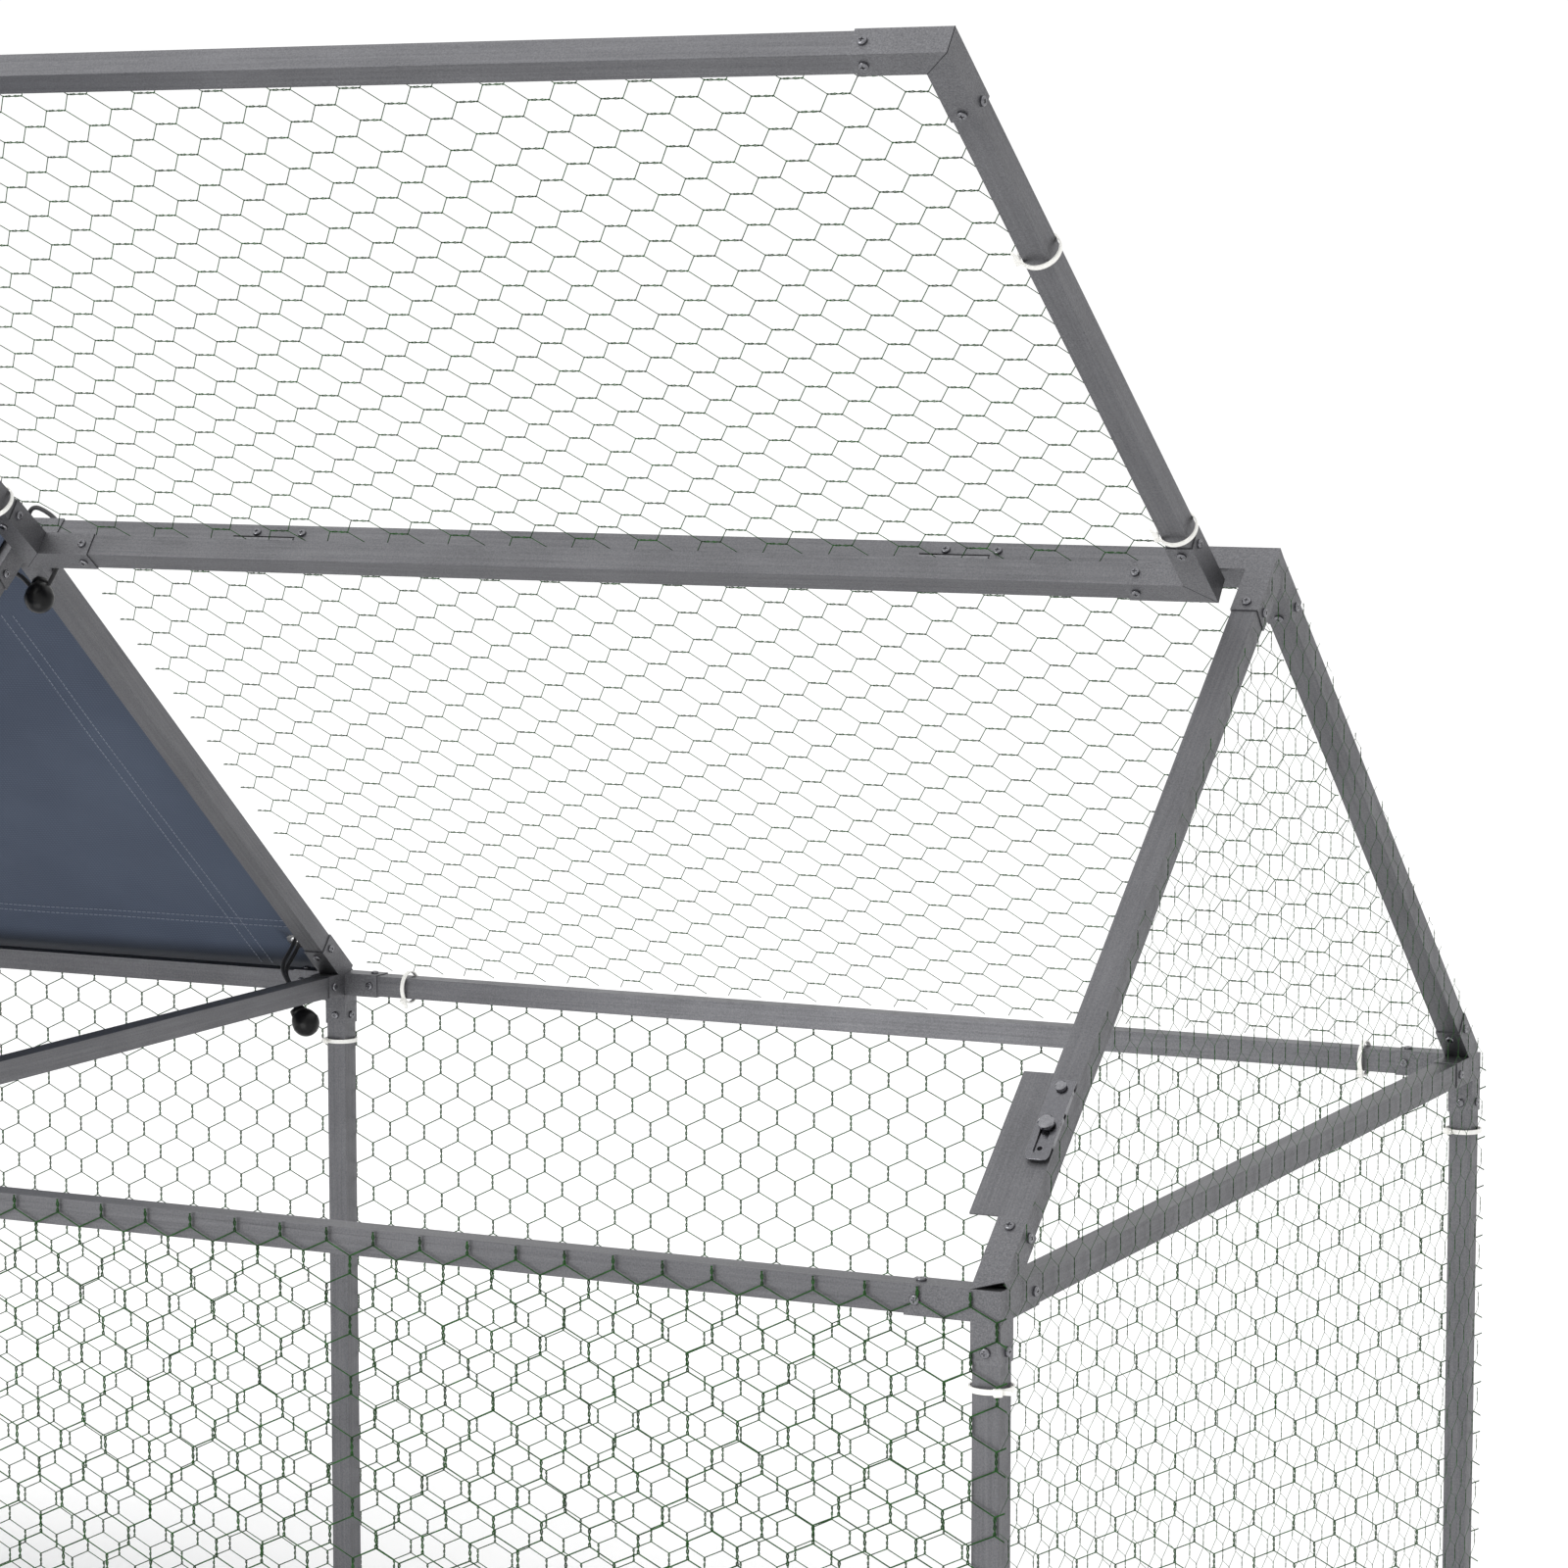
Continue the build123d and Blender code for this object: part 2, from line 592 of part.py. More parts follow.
def ridge_leaf_places(x):
    """Places of the screws on the ridge's upper front face at one hinge."""
    offsets = (LEAF_SCREW_SHIFT - LEAF_SCREW_PITCH / 2, LEAF_SCREW_SHIFT + LEAF_SCREW_PITCH / 2)
    out = RIDGE_FACE.y_dir
    start = RIDGE_FACE.origin + RIDGE_FACE.x_dir * LEAF_SCREW_HEIGHT
    return [Plane(origin=start + RIGHT * (x + offset), x_dir=RIGHT, z_dir=out) for offset in offsets]


def hinge_lid_leaf(x):
    """Leaf on the lid's hinge rail with the middle knuckle, drawn with the lid flat."""
    half = HINGE_LENGTH / 2
    clear = KNUCKLE_RADIUS + KNUCKLE_GAP
    plane = Plane(origin=(x, 0, 0), x_dir=FORWARD * -1, z_dir=RIGHT)
    top = LID_TOP + LEAF_THICK
    leaf = span_block(plane, (-LID_LEAF_WIDTH, LID_TOP), (-clear, top), -half, half)
    leaf += span_block(plane, (-clear, LID_TOP), (0, top), -KNUCKLE_LENGTH / 2, KNUCKLE_LENGTH / 2)
    leaf += plane * Cylinder(KNUCKLE_RADIUS, KNUCKLE_LENGTH)
    leaf -= plane * Cylinder(PIN_RADIUS + PIN_FIT, HINGE_LENGTH)
    return drilled(leaf, lid_leaf_places())


def hinges():
    """Leaves, pins and screws of the lid's two hinges, and the slots in the ridge tube."""
    xs = [BAY / 2 - HINGE_OFFSET, BAY / 2 + HINGE_OFFSET]
    nodes["hinge_frame_leaves"] = [hinge_frame_leaf(x) for x in xs]
    nodes["hinge_lid_leaves"] = [LID_PLACE * hinge_lid_leaf(x - BAY / 2) for x in xs]
    pin = Rot(0, 90, 0) * Cylinder(PIN_RADIUS, HINGE_LENGTH)
    nodes["hinge_pins"] = [Pos(x, AXIS.Y, AXIS.Z) * pin for x in xs]
    ridge = nodes["right_ridge_tube"][0]
    for x in xs:
        low = (LEAF_TAB - SLOT_CLEARANCE, -TUBE_WALL - LEAF_INSIDE_GAP)
        high = (LEAF_TAB + SLOT_HEIGHT, LEAF_THICK)
        half = HINGE_LENGTH / 2 + SLOT_CLEARANCE
        ridge -= span_block(RIDGE_FACE.offset(x), low, high, -half, half)
        ridge = drilled(ridge, ridge_leaf_places(x))
        nodes["frame_screws"] += [place * SCREW for place in ridge_leaf_places(x)]
    nodes["right_ridge_tube"] = [ridge]


def stop_plate():
    """Angle plate on the rafter's inner side that the closed lid comes down on."""
    plane = slope_plane(FRONT, BAY)
    axis_lift = plane.to_local_coords(Vector(BAY, AXIS.Y, AXIS.Z)).Z
    lid_under = axis_lift + LID_MID - HALF_SLEEVE - HEAD_HEIGHT
    top = lid_under - STOP_CLEARANCE
    middle = -STOP_FROM - STOP_LENGTH / 2
    shelf = Pos(-HALF_TUBE - STOP_WIDTH / 2, middle, top - STOP_THICK / 2) * Box(STOP_WIDTH, STOP_LENGTH, STOP_THICK)
    rise = STOP_FLANGE_TOP - top
    flange = Pos(-HALF_TUBE - STOP_THICK / 2, middle, top + rise / 2) * Box(STOP_THICK, STOP_LENGTH, rise)
    places = []
    for way in (-1, 1):
        y = middle + way * (STOP_LENGTH / 2 - STOP_SCREW_MARGIN)
        place = Plane(origin=(-HALF_TUBE - STOP_THICK, y, 0), x_dir=FORWARD, z_dir=-RIGHT)
        places.append(plane * Location(place))
    places = [Plane(place) for place in places]
    nodes["lid_stop_plate"] = [drilled(plane * (shelf + flange), places)]
    nodes["front_right_rafter"] = [drilled(nodes["front_right_rafter"][0], places)]
    nodes["frame_screws"] += [place * SCREW for place in places]


def turned(profile):
    """Solid of revolution about Z from radii and heights, listed upwards."""
    points = [(0, profile[0][1])] + list(profile) + [(0, profile[-1][1])]
    face = make_face(Polyline(*points, close=True))
    return revolve(Plane.XZ * face, axis=Axis.Z)


def latch():
    """Slide latch: housing, bolt, knob and stud on the right front rafter."""
    plane = slope_plane(FRONT, BAY, HALF_TUBE) * Pos(LATCH_SHIFT, -LATCH_TOP, 0)
    half = LATCH_WIDTH / 2
    straight = LATCH_LENGTH - LATCH_CORNER
    roof = LATCH_ROOM + LATCH_SHEET
    knob_y = -KNOB_FROM_TOP
    plate = Pos(0, -straight / 2) * Rectangle(LATCH_WIDTH, straight)
    plate += Pos(0, -straight) * SlotOverall(LATCH_WIDTH, 2 * LATCH_CORNER)
    plate -= Pos(0, knob_y - SLOT_RUN / 2) * SlotCenterToCenter(SLOT_RUN, SLOT_WIDTH, 90)
    plate -= Pos(0, -STUD_FROM_TOP) * Circle(STUD_NECK_RADIUS + STUD_FIT)
    housing = Pos(0, 0, LATCH_ROOM) * extrude(plate, amount=LATCH_SHEET)
    tab_start = LATCH_TAB_TOP
    for length in LATCH_TAB_LENGTHS:
        for way in (-1, 1):
            centre = (way * (half - LATCH_SHEET / 2), -tab_start - length / 2, roof / 2)
            housing += Pos(*centre) * Box(LATCH_SHEET, length, roof)
        tab_start += length + LATCH_TAB_GAP
    housing = fillet(housing.edges().group_by(Axis.Z)[-1], LATCH_EDGE_ROUND)
    nodes["latch_housing"] = [plane * housing]

    bolt_lift = (LATCH_ROOM - BOLT_THICK) / 2
    bolt_straight = BOLT_LENGTH - BOLT_WIDTH / 2
    strip = Pos(0, -BOLT_FROM_TOP - bolt_straight / 2) * Rectangle(BOLT_WIDTH, bolt_straight)
    strip += Pos(0, -BOLT_FROM_TOP - bolt_straight) * Circle(BOLT_WIDTH / 2)
    strip -= Pos(0, knob_y - PULL_HOLE_FROM_KNOB) * Circle(PULL_HOLE_RADIUS)
    nodes["latch_bolt"] = [plane * Pos(0, 0, bolt_lift) * extrude(strip, amount=BOLT_THICK)]

    bolt_top = bolt_lift + BOLT_THICK
    knob_low = roof + KNOB_STANDOFF
    knob = turned(
        [
            (KNOB_STEM_RADIUS, bolt_top),
            (KNOB_STEM_RADIUS, knob_low),
            (KNOB_RADIUS, knob_low),
            (KNOB_RADIUS, knob_low + KNOB_HEIGHT - KNOB_ROUND),
            (KNOB_RADIUS - KNOB_ROUND, knob_low + KNOB_HEIGHT),
        ]
    )
    nodes["latch_knob"] = [plane * Pos(0, knob_y, 0) * knob]

    collar_top = roof + STUD_COLLAR_HEIGHT
    stud = turned(
        [
            (STUD_ROOT_RADIUS, -STUD_ROOT_LENGTH),
            (STUD_ROOT_RADIUS, 0),
            (STUD_COLLAR_RADIUS, 0),
            (STUD_COLLAR_RADIUS, LATCH_ROOM),
            (STUD_NECK_RADIUS, LATCH_ROOM),
            (STUD_NECK_RADIUS, roof),
            (STUD_COLLAR_RADIUS, roof),
            (STUD_COLLAR_RADIUS, collar_top),
            (STUD_HEAD_RADIUS, collar_top),
            (STUD_HEAD_RADIUS, collar_top + STUD_HEAD_HEIGHT / 2),
            (STUD_HEAD_RADIUS - STUD_HEAD_HEIGHT / 2, collar_top + STUD_HEAD_HEIGHT),
        ]
    )
    stud_place = plane * Pos(0, -STUD_FROM_TOP, 0)
    nodes["latch_stud"] = [stud_place * stud]
    rafter = nodes["front_right_rafter"][0]
    nodes["front_right_rafter"] = [
        drilled(rafter, [stud_place], STUD_ROOT_RADIUS + SCREW_FIT, STUD_ROOT_LENGTH)
    ]


def cover_point(x, side, down):
    """Point in the middle of the cover's thickness."""
    lift = COVER_LIFT + COVER_THICK / 2
    return Vector(x, 0, RIDGE_HEIGHT) + down_slope(side) * down + slope_normal(side) * lift


def bungee_routes():
    """Eyelet place, slope, ball centre and cord of each ball bungee."""
    hem = COVER_DOWN - EYELET_FROM_HEM
    beside_tie = HALF_SLEEVE + CORD_RADIUS + CORD_SIDE_GAP
    routes = []
    for side in SIDES.values():
        for station, way, inside in ((0.0, -1, 0.0), (-BAY, 1, BALL_INSIDE_END)):
            eyelet = cover_point(station + way * EYELET_FROM_RAFTER, side, hem)
            ball_y = side * (SPAN / 2 - BALL_FROM_POST)
            ball = Vector(station + way * inside, ball_y, EAVE_HEIGHT - BALL_BELOW_EAVE)
            low = Vector(station + way * beside_tie, ball_y, EAVE_HEIGHT - HALF_SLEEVE - CORD_RADIUS)
            high = Vector(station + way * (beside_tie + 2 * CORD_BEND / 3), ball_y + side * CORD_BEND, EAVE_HEIGHT)
            bow = Vector(station + way * CORD_BOW, high.Y + side * CORD_BEND, high.Z + 1.5 * CORD_BEND)
            routes.append((eyelet, side, ball, doubled_cord(eyelet, side, ball, [low, high, bow])))
    eyelet = cover_point(-EYELET_FROM_RAFTER, REAR, EYELET_FROM_RIDGE)
    ball = Vector(RIDGE_BALL_PAST_RAFTER, 0, RIDGE_HEIGHT - BALL_BELOW_RIDGE)
    routes.append((eyelet, REAR, ball, looped_cord(eyelet, REAR, ball)))
    eyelet = cover_point(-BAY + EYELET_FROM_RAFTER, REAR, EYELET_FROM_RIDGE)
    ball = Vector(-BAY + LEFT_RIDGE_BALL_INSIDE, 0, RIDGE_HEIGHT - BALL_BELOW_RIDGE)
    routes.append((eyelet, REAR, ball, doubled_cord(eyelet, REAR, ball, [])))
    return routes


def into_ball(ball, first):
    """Where a cord that comes from a point ends inside its ball."""
    return ball + (first - ball).normalized() * (BALL_RADIUS - CORD_INTO_BALL)


def cord_along(points, bends):
    """Round cord along straight runs with rounded turns."""
    path = FilletPolyline(*points, radius=bends)
    section = Plane(origin=path @ 0, z_dir=path % 0) * Circle(CORD_RADIUS)
    return sweep(section, path=path)


def doubled_cord(eyelet, side, ball, waypoints):
    """One cord doubled through its eyelet, both ends running into the ball by the same way."""
    normal = slope_normal(side)
    spread = down_slope(side) * CORD_SPREAD
    lead = eyelet - normal * CORD_LEAD
    start = into_ball(ball, (waypoints + [lead])[0])
    up = [start] + waypoints + [lead, eyelet + normal * CORD_LEAD / 2]
    points = [p + spread for p in up] + [p - spread for p in reversed(up)]
    bends = [CORD_BEND / 2] * (len(up) - 2) + [CORD_FOLD]
    return cord_along(points, bends + bends[::-1])


def looped_cord(eyelet, side, ball):
    """One cord that rises beside the rafter, crosses over the cover's edge, and returns through the eyelet."""
    normal = slope_normal(side)
    centre = Vector(0, 0, RIDGE_HEIGHT)
    rising = [centre + Vector(*turn) for turn in LOOP_RISING]
    returning = [centre + Vector(*turn) for turn in LOOP_RETURNING]
    pulled = eyelet + RIGHT * CORD_SPREAD
    through = [pulled + normal * LOOP_OVER_EYELET, pulled - normal * CORD_LEAD]
    turns = rising + through + returning
    points = [into_ball(ball, turns[0])] + turns + [into_ball(ball, turns[-1])]
    return cord_along(points, [CORD_BEND / 2] * len(turns))


def cover():
    """Sheet over the left bay's roof, with its eyelets and ball bungees."""
    low = COVER_LIFT
    high = COVER_LIFT + COVER_THICK
    ridge = Vector(0, 0, 0)
    ends = {s: [ridge + down_slope(s) * COVER_DOWN + slope_normal(s) * lift for lift in (low, high)] for s in (-1, 1)}
    peaks = [ridge + UP * (lift / math.cos(SLOPE)) for lift in (low, high)]
    outline = [ends[FRONT][0], ends[FRONT][1], peaks[1], ends[REAR][1], ends[REAR][0], peaks[0]]
    start = -BAY - COVER_PAST_RAFTER
    plane = Plane(origin=(start, 0, RIDGE_HEIGHT), x_dir=FORWARD * -1, z_dir=RIGHT)
    face = make_face(Polyline(*[(p.Y, p.Z) for p in outline], close=True))
    sheet = extrude(plane * face, amount=BAY + 2 * COVER_PAST_RAFTER)
    barrel = EYELET_BORE + EYELET_BARREL
    collar = EYELET_SHEET + COVER_THICK / 2
    ring = Cylinder(barrel, COVER_THICK)
    for way in (-1, 1):
        lift = way * (COVER_THICK + EYELET_SHEET) / 2
        ring += Pos(0, 0, lift) * Cylinder(EYELET_BORE + EYELET_FLANGE, EYELET_SHEET)
    ring -= Cylinder(EYELET_BORE, 4 * collar)
    hole = Cylinder(barrel + EYELET_FIT, 4 * collar)
    eyelets, cords, balls = [], [], []
    for eyelet, side, ball, cord in bungee_routes():
        place = Plane(origin=eyelet, x_dir=RIGHT, z_dir=slope_normal(side))
        sheet -= place * hole
        eyelets.append(place * ring)
        cords.append(cord)
        balls.append(Pos(*ball) * Sphere(BALL_RADIUS) - cord)
    nodes["roof_cover"] = [sheet]
    nodes["cover_eyelets"] = eyelets
    nodes["bungee_cords"] = cords
    nodes["bungee_balls"] = balls


def main():
    frame_connectors()
    frame_tubes()
    frame_screws()
    wall_netting()
    roof_netting()
    frame_ties()
    lid()
    hinges()
    stop_plate()
    latch()
    cover()
    os.makedirs("parts", exist_ok=True)
    for name, solids in nodes.items():
        shape = solids[0] if len(solids) == 1 else Compound(children=solids)
        export_step(shape, f"parts/{name}.step")


main()
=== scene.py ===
import math

import bmesh
import bpy
from mathutils import Matrix, Vector, noise


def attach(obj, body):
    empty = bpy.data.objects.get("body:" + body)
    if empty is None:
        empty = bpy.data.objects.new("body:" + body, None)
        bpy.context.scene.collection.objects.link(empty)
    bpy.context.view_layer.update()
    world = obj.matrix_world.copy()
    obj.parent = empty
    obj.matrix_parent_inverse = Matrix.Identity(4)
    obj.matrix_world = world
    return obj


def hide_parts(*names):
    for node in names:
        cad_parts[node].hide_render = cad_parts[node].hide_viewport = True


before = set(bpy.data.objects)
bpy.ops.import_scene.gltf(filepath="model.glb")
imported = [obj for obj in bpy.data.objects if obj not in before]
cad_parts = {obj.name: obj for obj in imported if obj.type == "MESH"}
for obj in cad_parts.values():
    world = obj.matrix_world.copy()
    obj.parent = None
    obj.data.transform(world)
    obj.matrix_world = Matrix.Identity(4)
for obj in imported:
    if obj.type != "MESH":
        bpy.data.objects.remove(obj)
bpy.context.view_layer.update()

# Sizes of the frame, in metres, as the solids have them
BAY = 1.090
SPAN = 1.010
EAVE = 0.640
RIDGE = 1.082
RAFTER_LIFT = 0.006
HALF_TUBE = 0.0095
HALF_SLEEVE = 0.0105
SLEEVE_WALL = 0.00085
BASE = HALF_SLEEVE
SLOPE = math.atan2(RIDGE - EAVE - RAFTER_LIFT, SPAN / 2)
LID_AXIS_FORWARD = 0.015
LID_AXIS_UNDER_RIDGE = 0.0055
LID_OPEN = math.radians(36.8)
LID_TOP = -0.0022
LID_MID = LID_TOP - HALF_TUBE
LID_HALF_LENGTH = 0.5075
LID_HINGE_RAIL = 0.0085
LID_FREE_RAIL = 0.6055
COVER_LIFT = 0.0134
COVER_THICK = 0.0012
COVER_DOWN = 0.684
COVER_PAST_RAFTER = 0.002
COVER_HALF_LENGTH = BAY / 2 + COVER_PAST_RAFTER
COVER_MIDDLE = -BAY / 2

RIGHT = Vector((1, 0, 0))
REARWARD = Vector((0, 1, 0))
UP = Vector((0, 0, 1))
RIDGE_TOP = Vector((0, 0, RIDGE))
FRONT = -1
REAR = 1
FRAME_BODY = "cage_frame"
LID_BODY = "lid"
TINY = 1e-6

scene = bpy.context.scene


def down_slope(side):
    """Unit vector down one slope of the roof."""
    return Vector((0, side * math.cos(SLOPE), -math.sin(SLOPE)))


def slope_normal(side):
    """Unit vector out of one slope of the roof."""
    return Vector((0, side * math.sin(SLOPE), math.cos(SLOPE)))


def on_slope(x, side, down, lift):
    """Point on one slope of the roof, so far down from the ridge and so far out."""
    return Vector((x, 0, RIDGE)) + down_slope(side) * down + slope_normal(side) * lift


def axes(origin, x_way, y_way):
    """Matrix that takes flat work to a plane with these two directions."""
    z_way = x_way.cross(y_way)
    turn = Matrix((x_way, y_way, z_way)).transposed().to_4x4()
    return Matrix.Translation(origin) @ turn


def pointing(way):
    """Turn that takes upright work to this direction."""
    return way.to_track_quat("Z", "Y").to_matrix().to_4x4()


LID_AXIS = Vector((BAY / 2, -LID_AXIS_FORWARD, RIDGE - LID_AXIS_UNDER_RIDGE))
LID_PLACE = Matrix.Translation(LID_AXIS) @ Matrix.Rotation(-LID_OPEN, 4, "X")
LID_DOWN = Vector((0, -math.cos(LID_OPEN), math.sin(LID_OPEN)))


# Materials
WAVE_BAND = 314.16  # millimetres from band to band of a wave texture at a scale of 1
# Width of the band of painted shade along the cover's hem, in metres
HEM_PAINTED_SHADE = 0.045
# Sockets of a colour mix: its factor, its two colours and what comes out
FACTOR, FIRST, SECOND, MIXED = 0, 6, 7, 2


def linear(hex_colour):
    """Linear colour of an sRGB hex value."""
    channels = [int(hex_colour[i : i + 2], 16) / 255 for i in (1, 3, 5)]
    return [c / 12.92 if c <= 0.04045 else ((c + 0.055) / 1.055) ** 2.4 for c in channels] + [1.0]


def repeats(millimetres):
    """Whole repeats of a pattern in a metre, which is its texture's scale."""
    return round(1000 / millimetres)


def add(tree, kind, inputs, **settings):
    """Adds a node with its settings; an input is a value or another node's output."""
    made = tree.nodes.new(kind)
    for name, value in settings.items():
        setattr(made, name, value)
    for socket, value in inputs.items():
        if isinstance(value, bpy.types.NodeSocket):
            tree.links.new(value, made.inputs[socket])
        else:
            made.inputs[socket].default_value = value
    return made


def new_finish(name, **sockets):
    """New material with these values on its shader, with its nodes and that shader."""
    made = bpy.data.materials.new(name)
    made.use_nodes = True
    shader = made.node_tree.nodes["Principled BSDF"]
    for socket, value in sockets.items():
        shader.inputs[socket.replace("_", " ")].default_value = value
    return made, made.node_tree, shader


def patterned(name, tones, size, detail=2.0, contrast=None, bump=None, **sockets):
    """Finish in two tones that change over a pattern of this size in millimetres."""
    made, tree, shader = new_finish(name, **sockets)
    coords = add(tree, "ShaderNodeTexCoord", {}).outputs["Object"]
    pattern = {"Vector": coords, "Scale": repeats(size), "Detail": detail}
    level = add(tree, "ShaderNodeTexNoise", pattern).outputs[0]
    if contrast:
        low, high = contrast
        spread = {"Value": level, "From Min": low, "From Max": high}
        level = add(tree, "ShaderNodeMapRange", spread).outputs[0]
    dark, light = tones
    mixed = {FACTOR: level, FIRST: linear(dark), SECOND: linear(light)}
    colour = add(tree, "ShaderNodeMix", mixed, data_type="RGBA").outputs[MIXED]
    tree.links.new(colour, shader.inputs["Base Color"])
    if bump:
        strength, depth = bump
        relief = {"Height": level, "Strength": strength, "Distance": depth}
        relief = add(tree, "ShaderNodeBump", relief).outputs[0]
        tree.links.new(relief, shader.inputs["Normal"])
    return made


def zinc_plate(name, tones, rough):
    """Bright zinc plating on pressed steel: pale grey, with a faint 2 mm mottle and soft reflections."""
    return patterned(
        name, tones, 2.0, detail=3.0, contrast=(0.35, 0.65), bump=(0.02, 0.0001), Metallic=1.0, Roughness=rough
    )


def galvanised(name, along, tones, streaked=0.4):
    """Zinc-coated rolled steel: dull grey, with fine streaks along the tube and gritty grain between them."""
    made, tree, shader = new_finish(name, Metallic=1.0)
    coords = add(tree, "ShaderNodeTexCoord", {}).outputs["Object"]
    turn = along.rotation_difference(RIGHT).to_euler()
    lengthwise = add(tree, "ShaderNodeMapping", {"Vector": coords, "Rotation": turn}).outputs[0]
    # Streaks 125 mm long and 2 mm wide, coarser than real drawing marks so that they show
    drawn = (repeats(125), repeats(2), repeats(2))
    stretched = add(tree, "ShaderNodeMapping", {"Vector": lengthwise, "Scale": drawn}).outputs[0]
    streak = {"Vector": stretched, "Scale": 1.0, "Detail": 4.0, "Roughness": 0.62}
    streak = add(tree, "ShaderNodeTexNoise", streak).outputs[0]
    # Grit of 1.2 mm
    grit = {"Vector": coords, "Scale": repeats(1.205), "Detail": 2.0, "Roughness": 0.7}
    grit = add(tree, "ShaderNodeTexNoise", grit).outputs[0]
    # Cloudy zinc bloom in patches of 62 mm
    bloom = {"Vector": coords, "Scale": repeats(62.5), "Detail": 3.0}
    bloom = add(tree, "ShaderNodeTexNoise", bloom).outputs[0]
    blend = {"Factor": streaked, "A": grit, "B": streak}
    blend = add(tree, "ShaderNodeMix", blend, data_type="FLOAT").outputs[0]
    blend = {"Factor": 0.18, "A": blend, "B": bloom}
    blend = add(tree, "ShaderNodeMix", blend, data_type="FLOAT").outputs[0]
    level = {"Value": blend, "From Min": 0.34, "From Max": 0.66}
    level = add(tree, "ShaderNodeMapRange", level).outputs[0]
    dark, light = tones
    mixed = {FACTOR: level, FIRST: linear(dark), SECOND: linear(light)}
    colour = add(tree, "ShaderNodeMix", mixed, data_type="RGBA").outputs[MIXED]
    tree.links.new(colour, shader.inputs["Base Color"])
    rough = add(tree, "ShaderNodeMapRange", {"Value": level, "To Min": 0.56, "To Max": 0.46}).outputs[0]
    tree.links.new(rough, shader.inputs["Roughness"])
    relief = add(tree, "ShaderNodeBump", {"Height": level, "Strength": 0.18, "Distance": 0.0002}).outputs[0]
    tree.links.new(relief, shader.inputs["Normal"])
    return made


def coated_cloth():
    """Coated woven cloth: blue-grey and matt, with a tight weave, broad soft creases and painted shade along
    the hem edges.
    """
    made, tree, shader = new_finish(
        "blue_grey_coated_cloth", Roughness=0.7, IOR=1.45, Specular_IOR_Level=0.15, Sheen_Weight=0.04
    )
    grid = add(tree, "ShaderNodeUVMap", {}, uv_map="cut").outputs[0]
    # Pairs of 1.6 mm threads, coarser than the real 0.5 mm so that they show
    weave = {"Vector": grid, "Scale": round(WAVE_BAND / 3.2)}
    weave |= {"Distortion": 0.6, "Detail": 1.0, "Detail Scale": 2.0}
    warp, weft = [add(tree, "ShaderNodeTexWave", weave, bands_direction=way).outputs[1] for way in ("X", "Y")]
    threads = add(tree, "ShaderNodeMath", {0: warp, 1: weft}, operation="MULTIPLY").outputs[0]
    coords = add(tree, "ShaderNodeTexCoord", {}).outputs["Object"]
    # Soft blotches of 125 mm where the coating is worn or dusty
    blotch = {"Vector": coords, "Scale": repeats(125), "Detail": 4.0}
    blotch = add(tree, "ShaderNodeTexNoise", blotch).outputs[0]
    level = {"Factor": 0.35, "A": blotch, "B": threads}
    level = add(tree, "ShaderNodeMix", level, data_type="FLOAT").outputs[0]
    level = add(tree, "ShaderNodeMapRange", {"Value": level, "From Min": 0.25, "From Max": 0.65}).outputs[0]
    mixed = {FACTOR: level, FIRST: linear("#3d4555"), SECOND: linear("#4a5363")}
    colour = add(tree, "ShaderNodeMix", mixed, data_type="RGBA").outputs[MIXED]
    # Painted shade over the last 45 mm above the eaves, darkening the cloth towards the hem's edge
    down = add(tree, "ShaderNodeSeparateXYZ", {0: grid}).outputs["Y"]
    down = add(tree, "ShaderNodeMath", {0: down}, operation="ABSOLUTE").outputs[0]
    hem_shade = {"Value": down, "From Min": COVER_DOWN - HEM_PAINTED_SHADE, "From Max": COVER_DOWN, "To Max": 0.75}
    hem_shade = add(tree, "ShaderNodeMapRange", hem_shade).outputs[0]
    mixed = {FACTOR: hem_shade, FIRST: colour, SECOND: linear("#0c0e13")}
    colour = add(tree, "ShaderNodeMix", mixed, data_type="RGBA").outputs[MIXED]
    tree.links.new(colour, shader.inputs["Base Color"])
    relief = {"Height": threads, "Strength": 0.12, "Distance": 0.0003}
    relief = add(tree, "ShaderNodeBump", relief).outputs[0]
    # Creases about 71 mm apart
    crease = {"Vector": coords, "Scale": repeats(71.4), "Detail": 2.0}
    crease = add(tree, "ShaderNodeTexNoise", crease).outputs[0]
    relief = {"Height": crease, "Normal": relief, "Strength": 0.25, "Distance": 0.004}
    relief = add(tree, "ShaderNodeBump", relief).outputs[0]
    tree.links.new(relief, shader.inputs["Normal"])
    return made


def braided_elastic():
    """Braided polyester over rubber: black, with a 1.5 mm braid that catches a little light."""
    made, tree, shader = new_finish("black_braided_elastic", Roughness=0.6, Sheen_Weight=0.2)
    coords = add(tree, "ShaderNodeTexCoord", {}).outputs["Object"]
    braid = add(tree, "ShaderNodeTexVoronoi", {"Vector": coords, "Scale": repeats(1.515)}).outputs[0]
    mixed = {FACTOR: braid, FIRST: linear("#232327"), SECOND: linear("#0b0b0d")}
    colour = add(tree, "ShaderNodeMix", mixed, data_type="RGBA").outputs[MIXED]
    tree.links.new(colour, shader.inputs["Base Color"])
    relief = {"Height": braid, "Strength": 0.5, "Distance": 0.0004}
    relief = add(tree, "ShaderNodeBump", relief, invert=True).outputs[0]
    tree.links.new(relief, shader.inputs["Normal"])
    return made


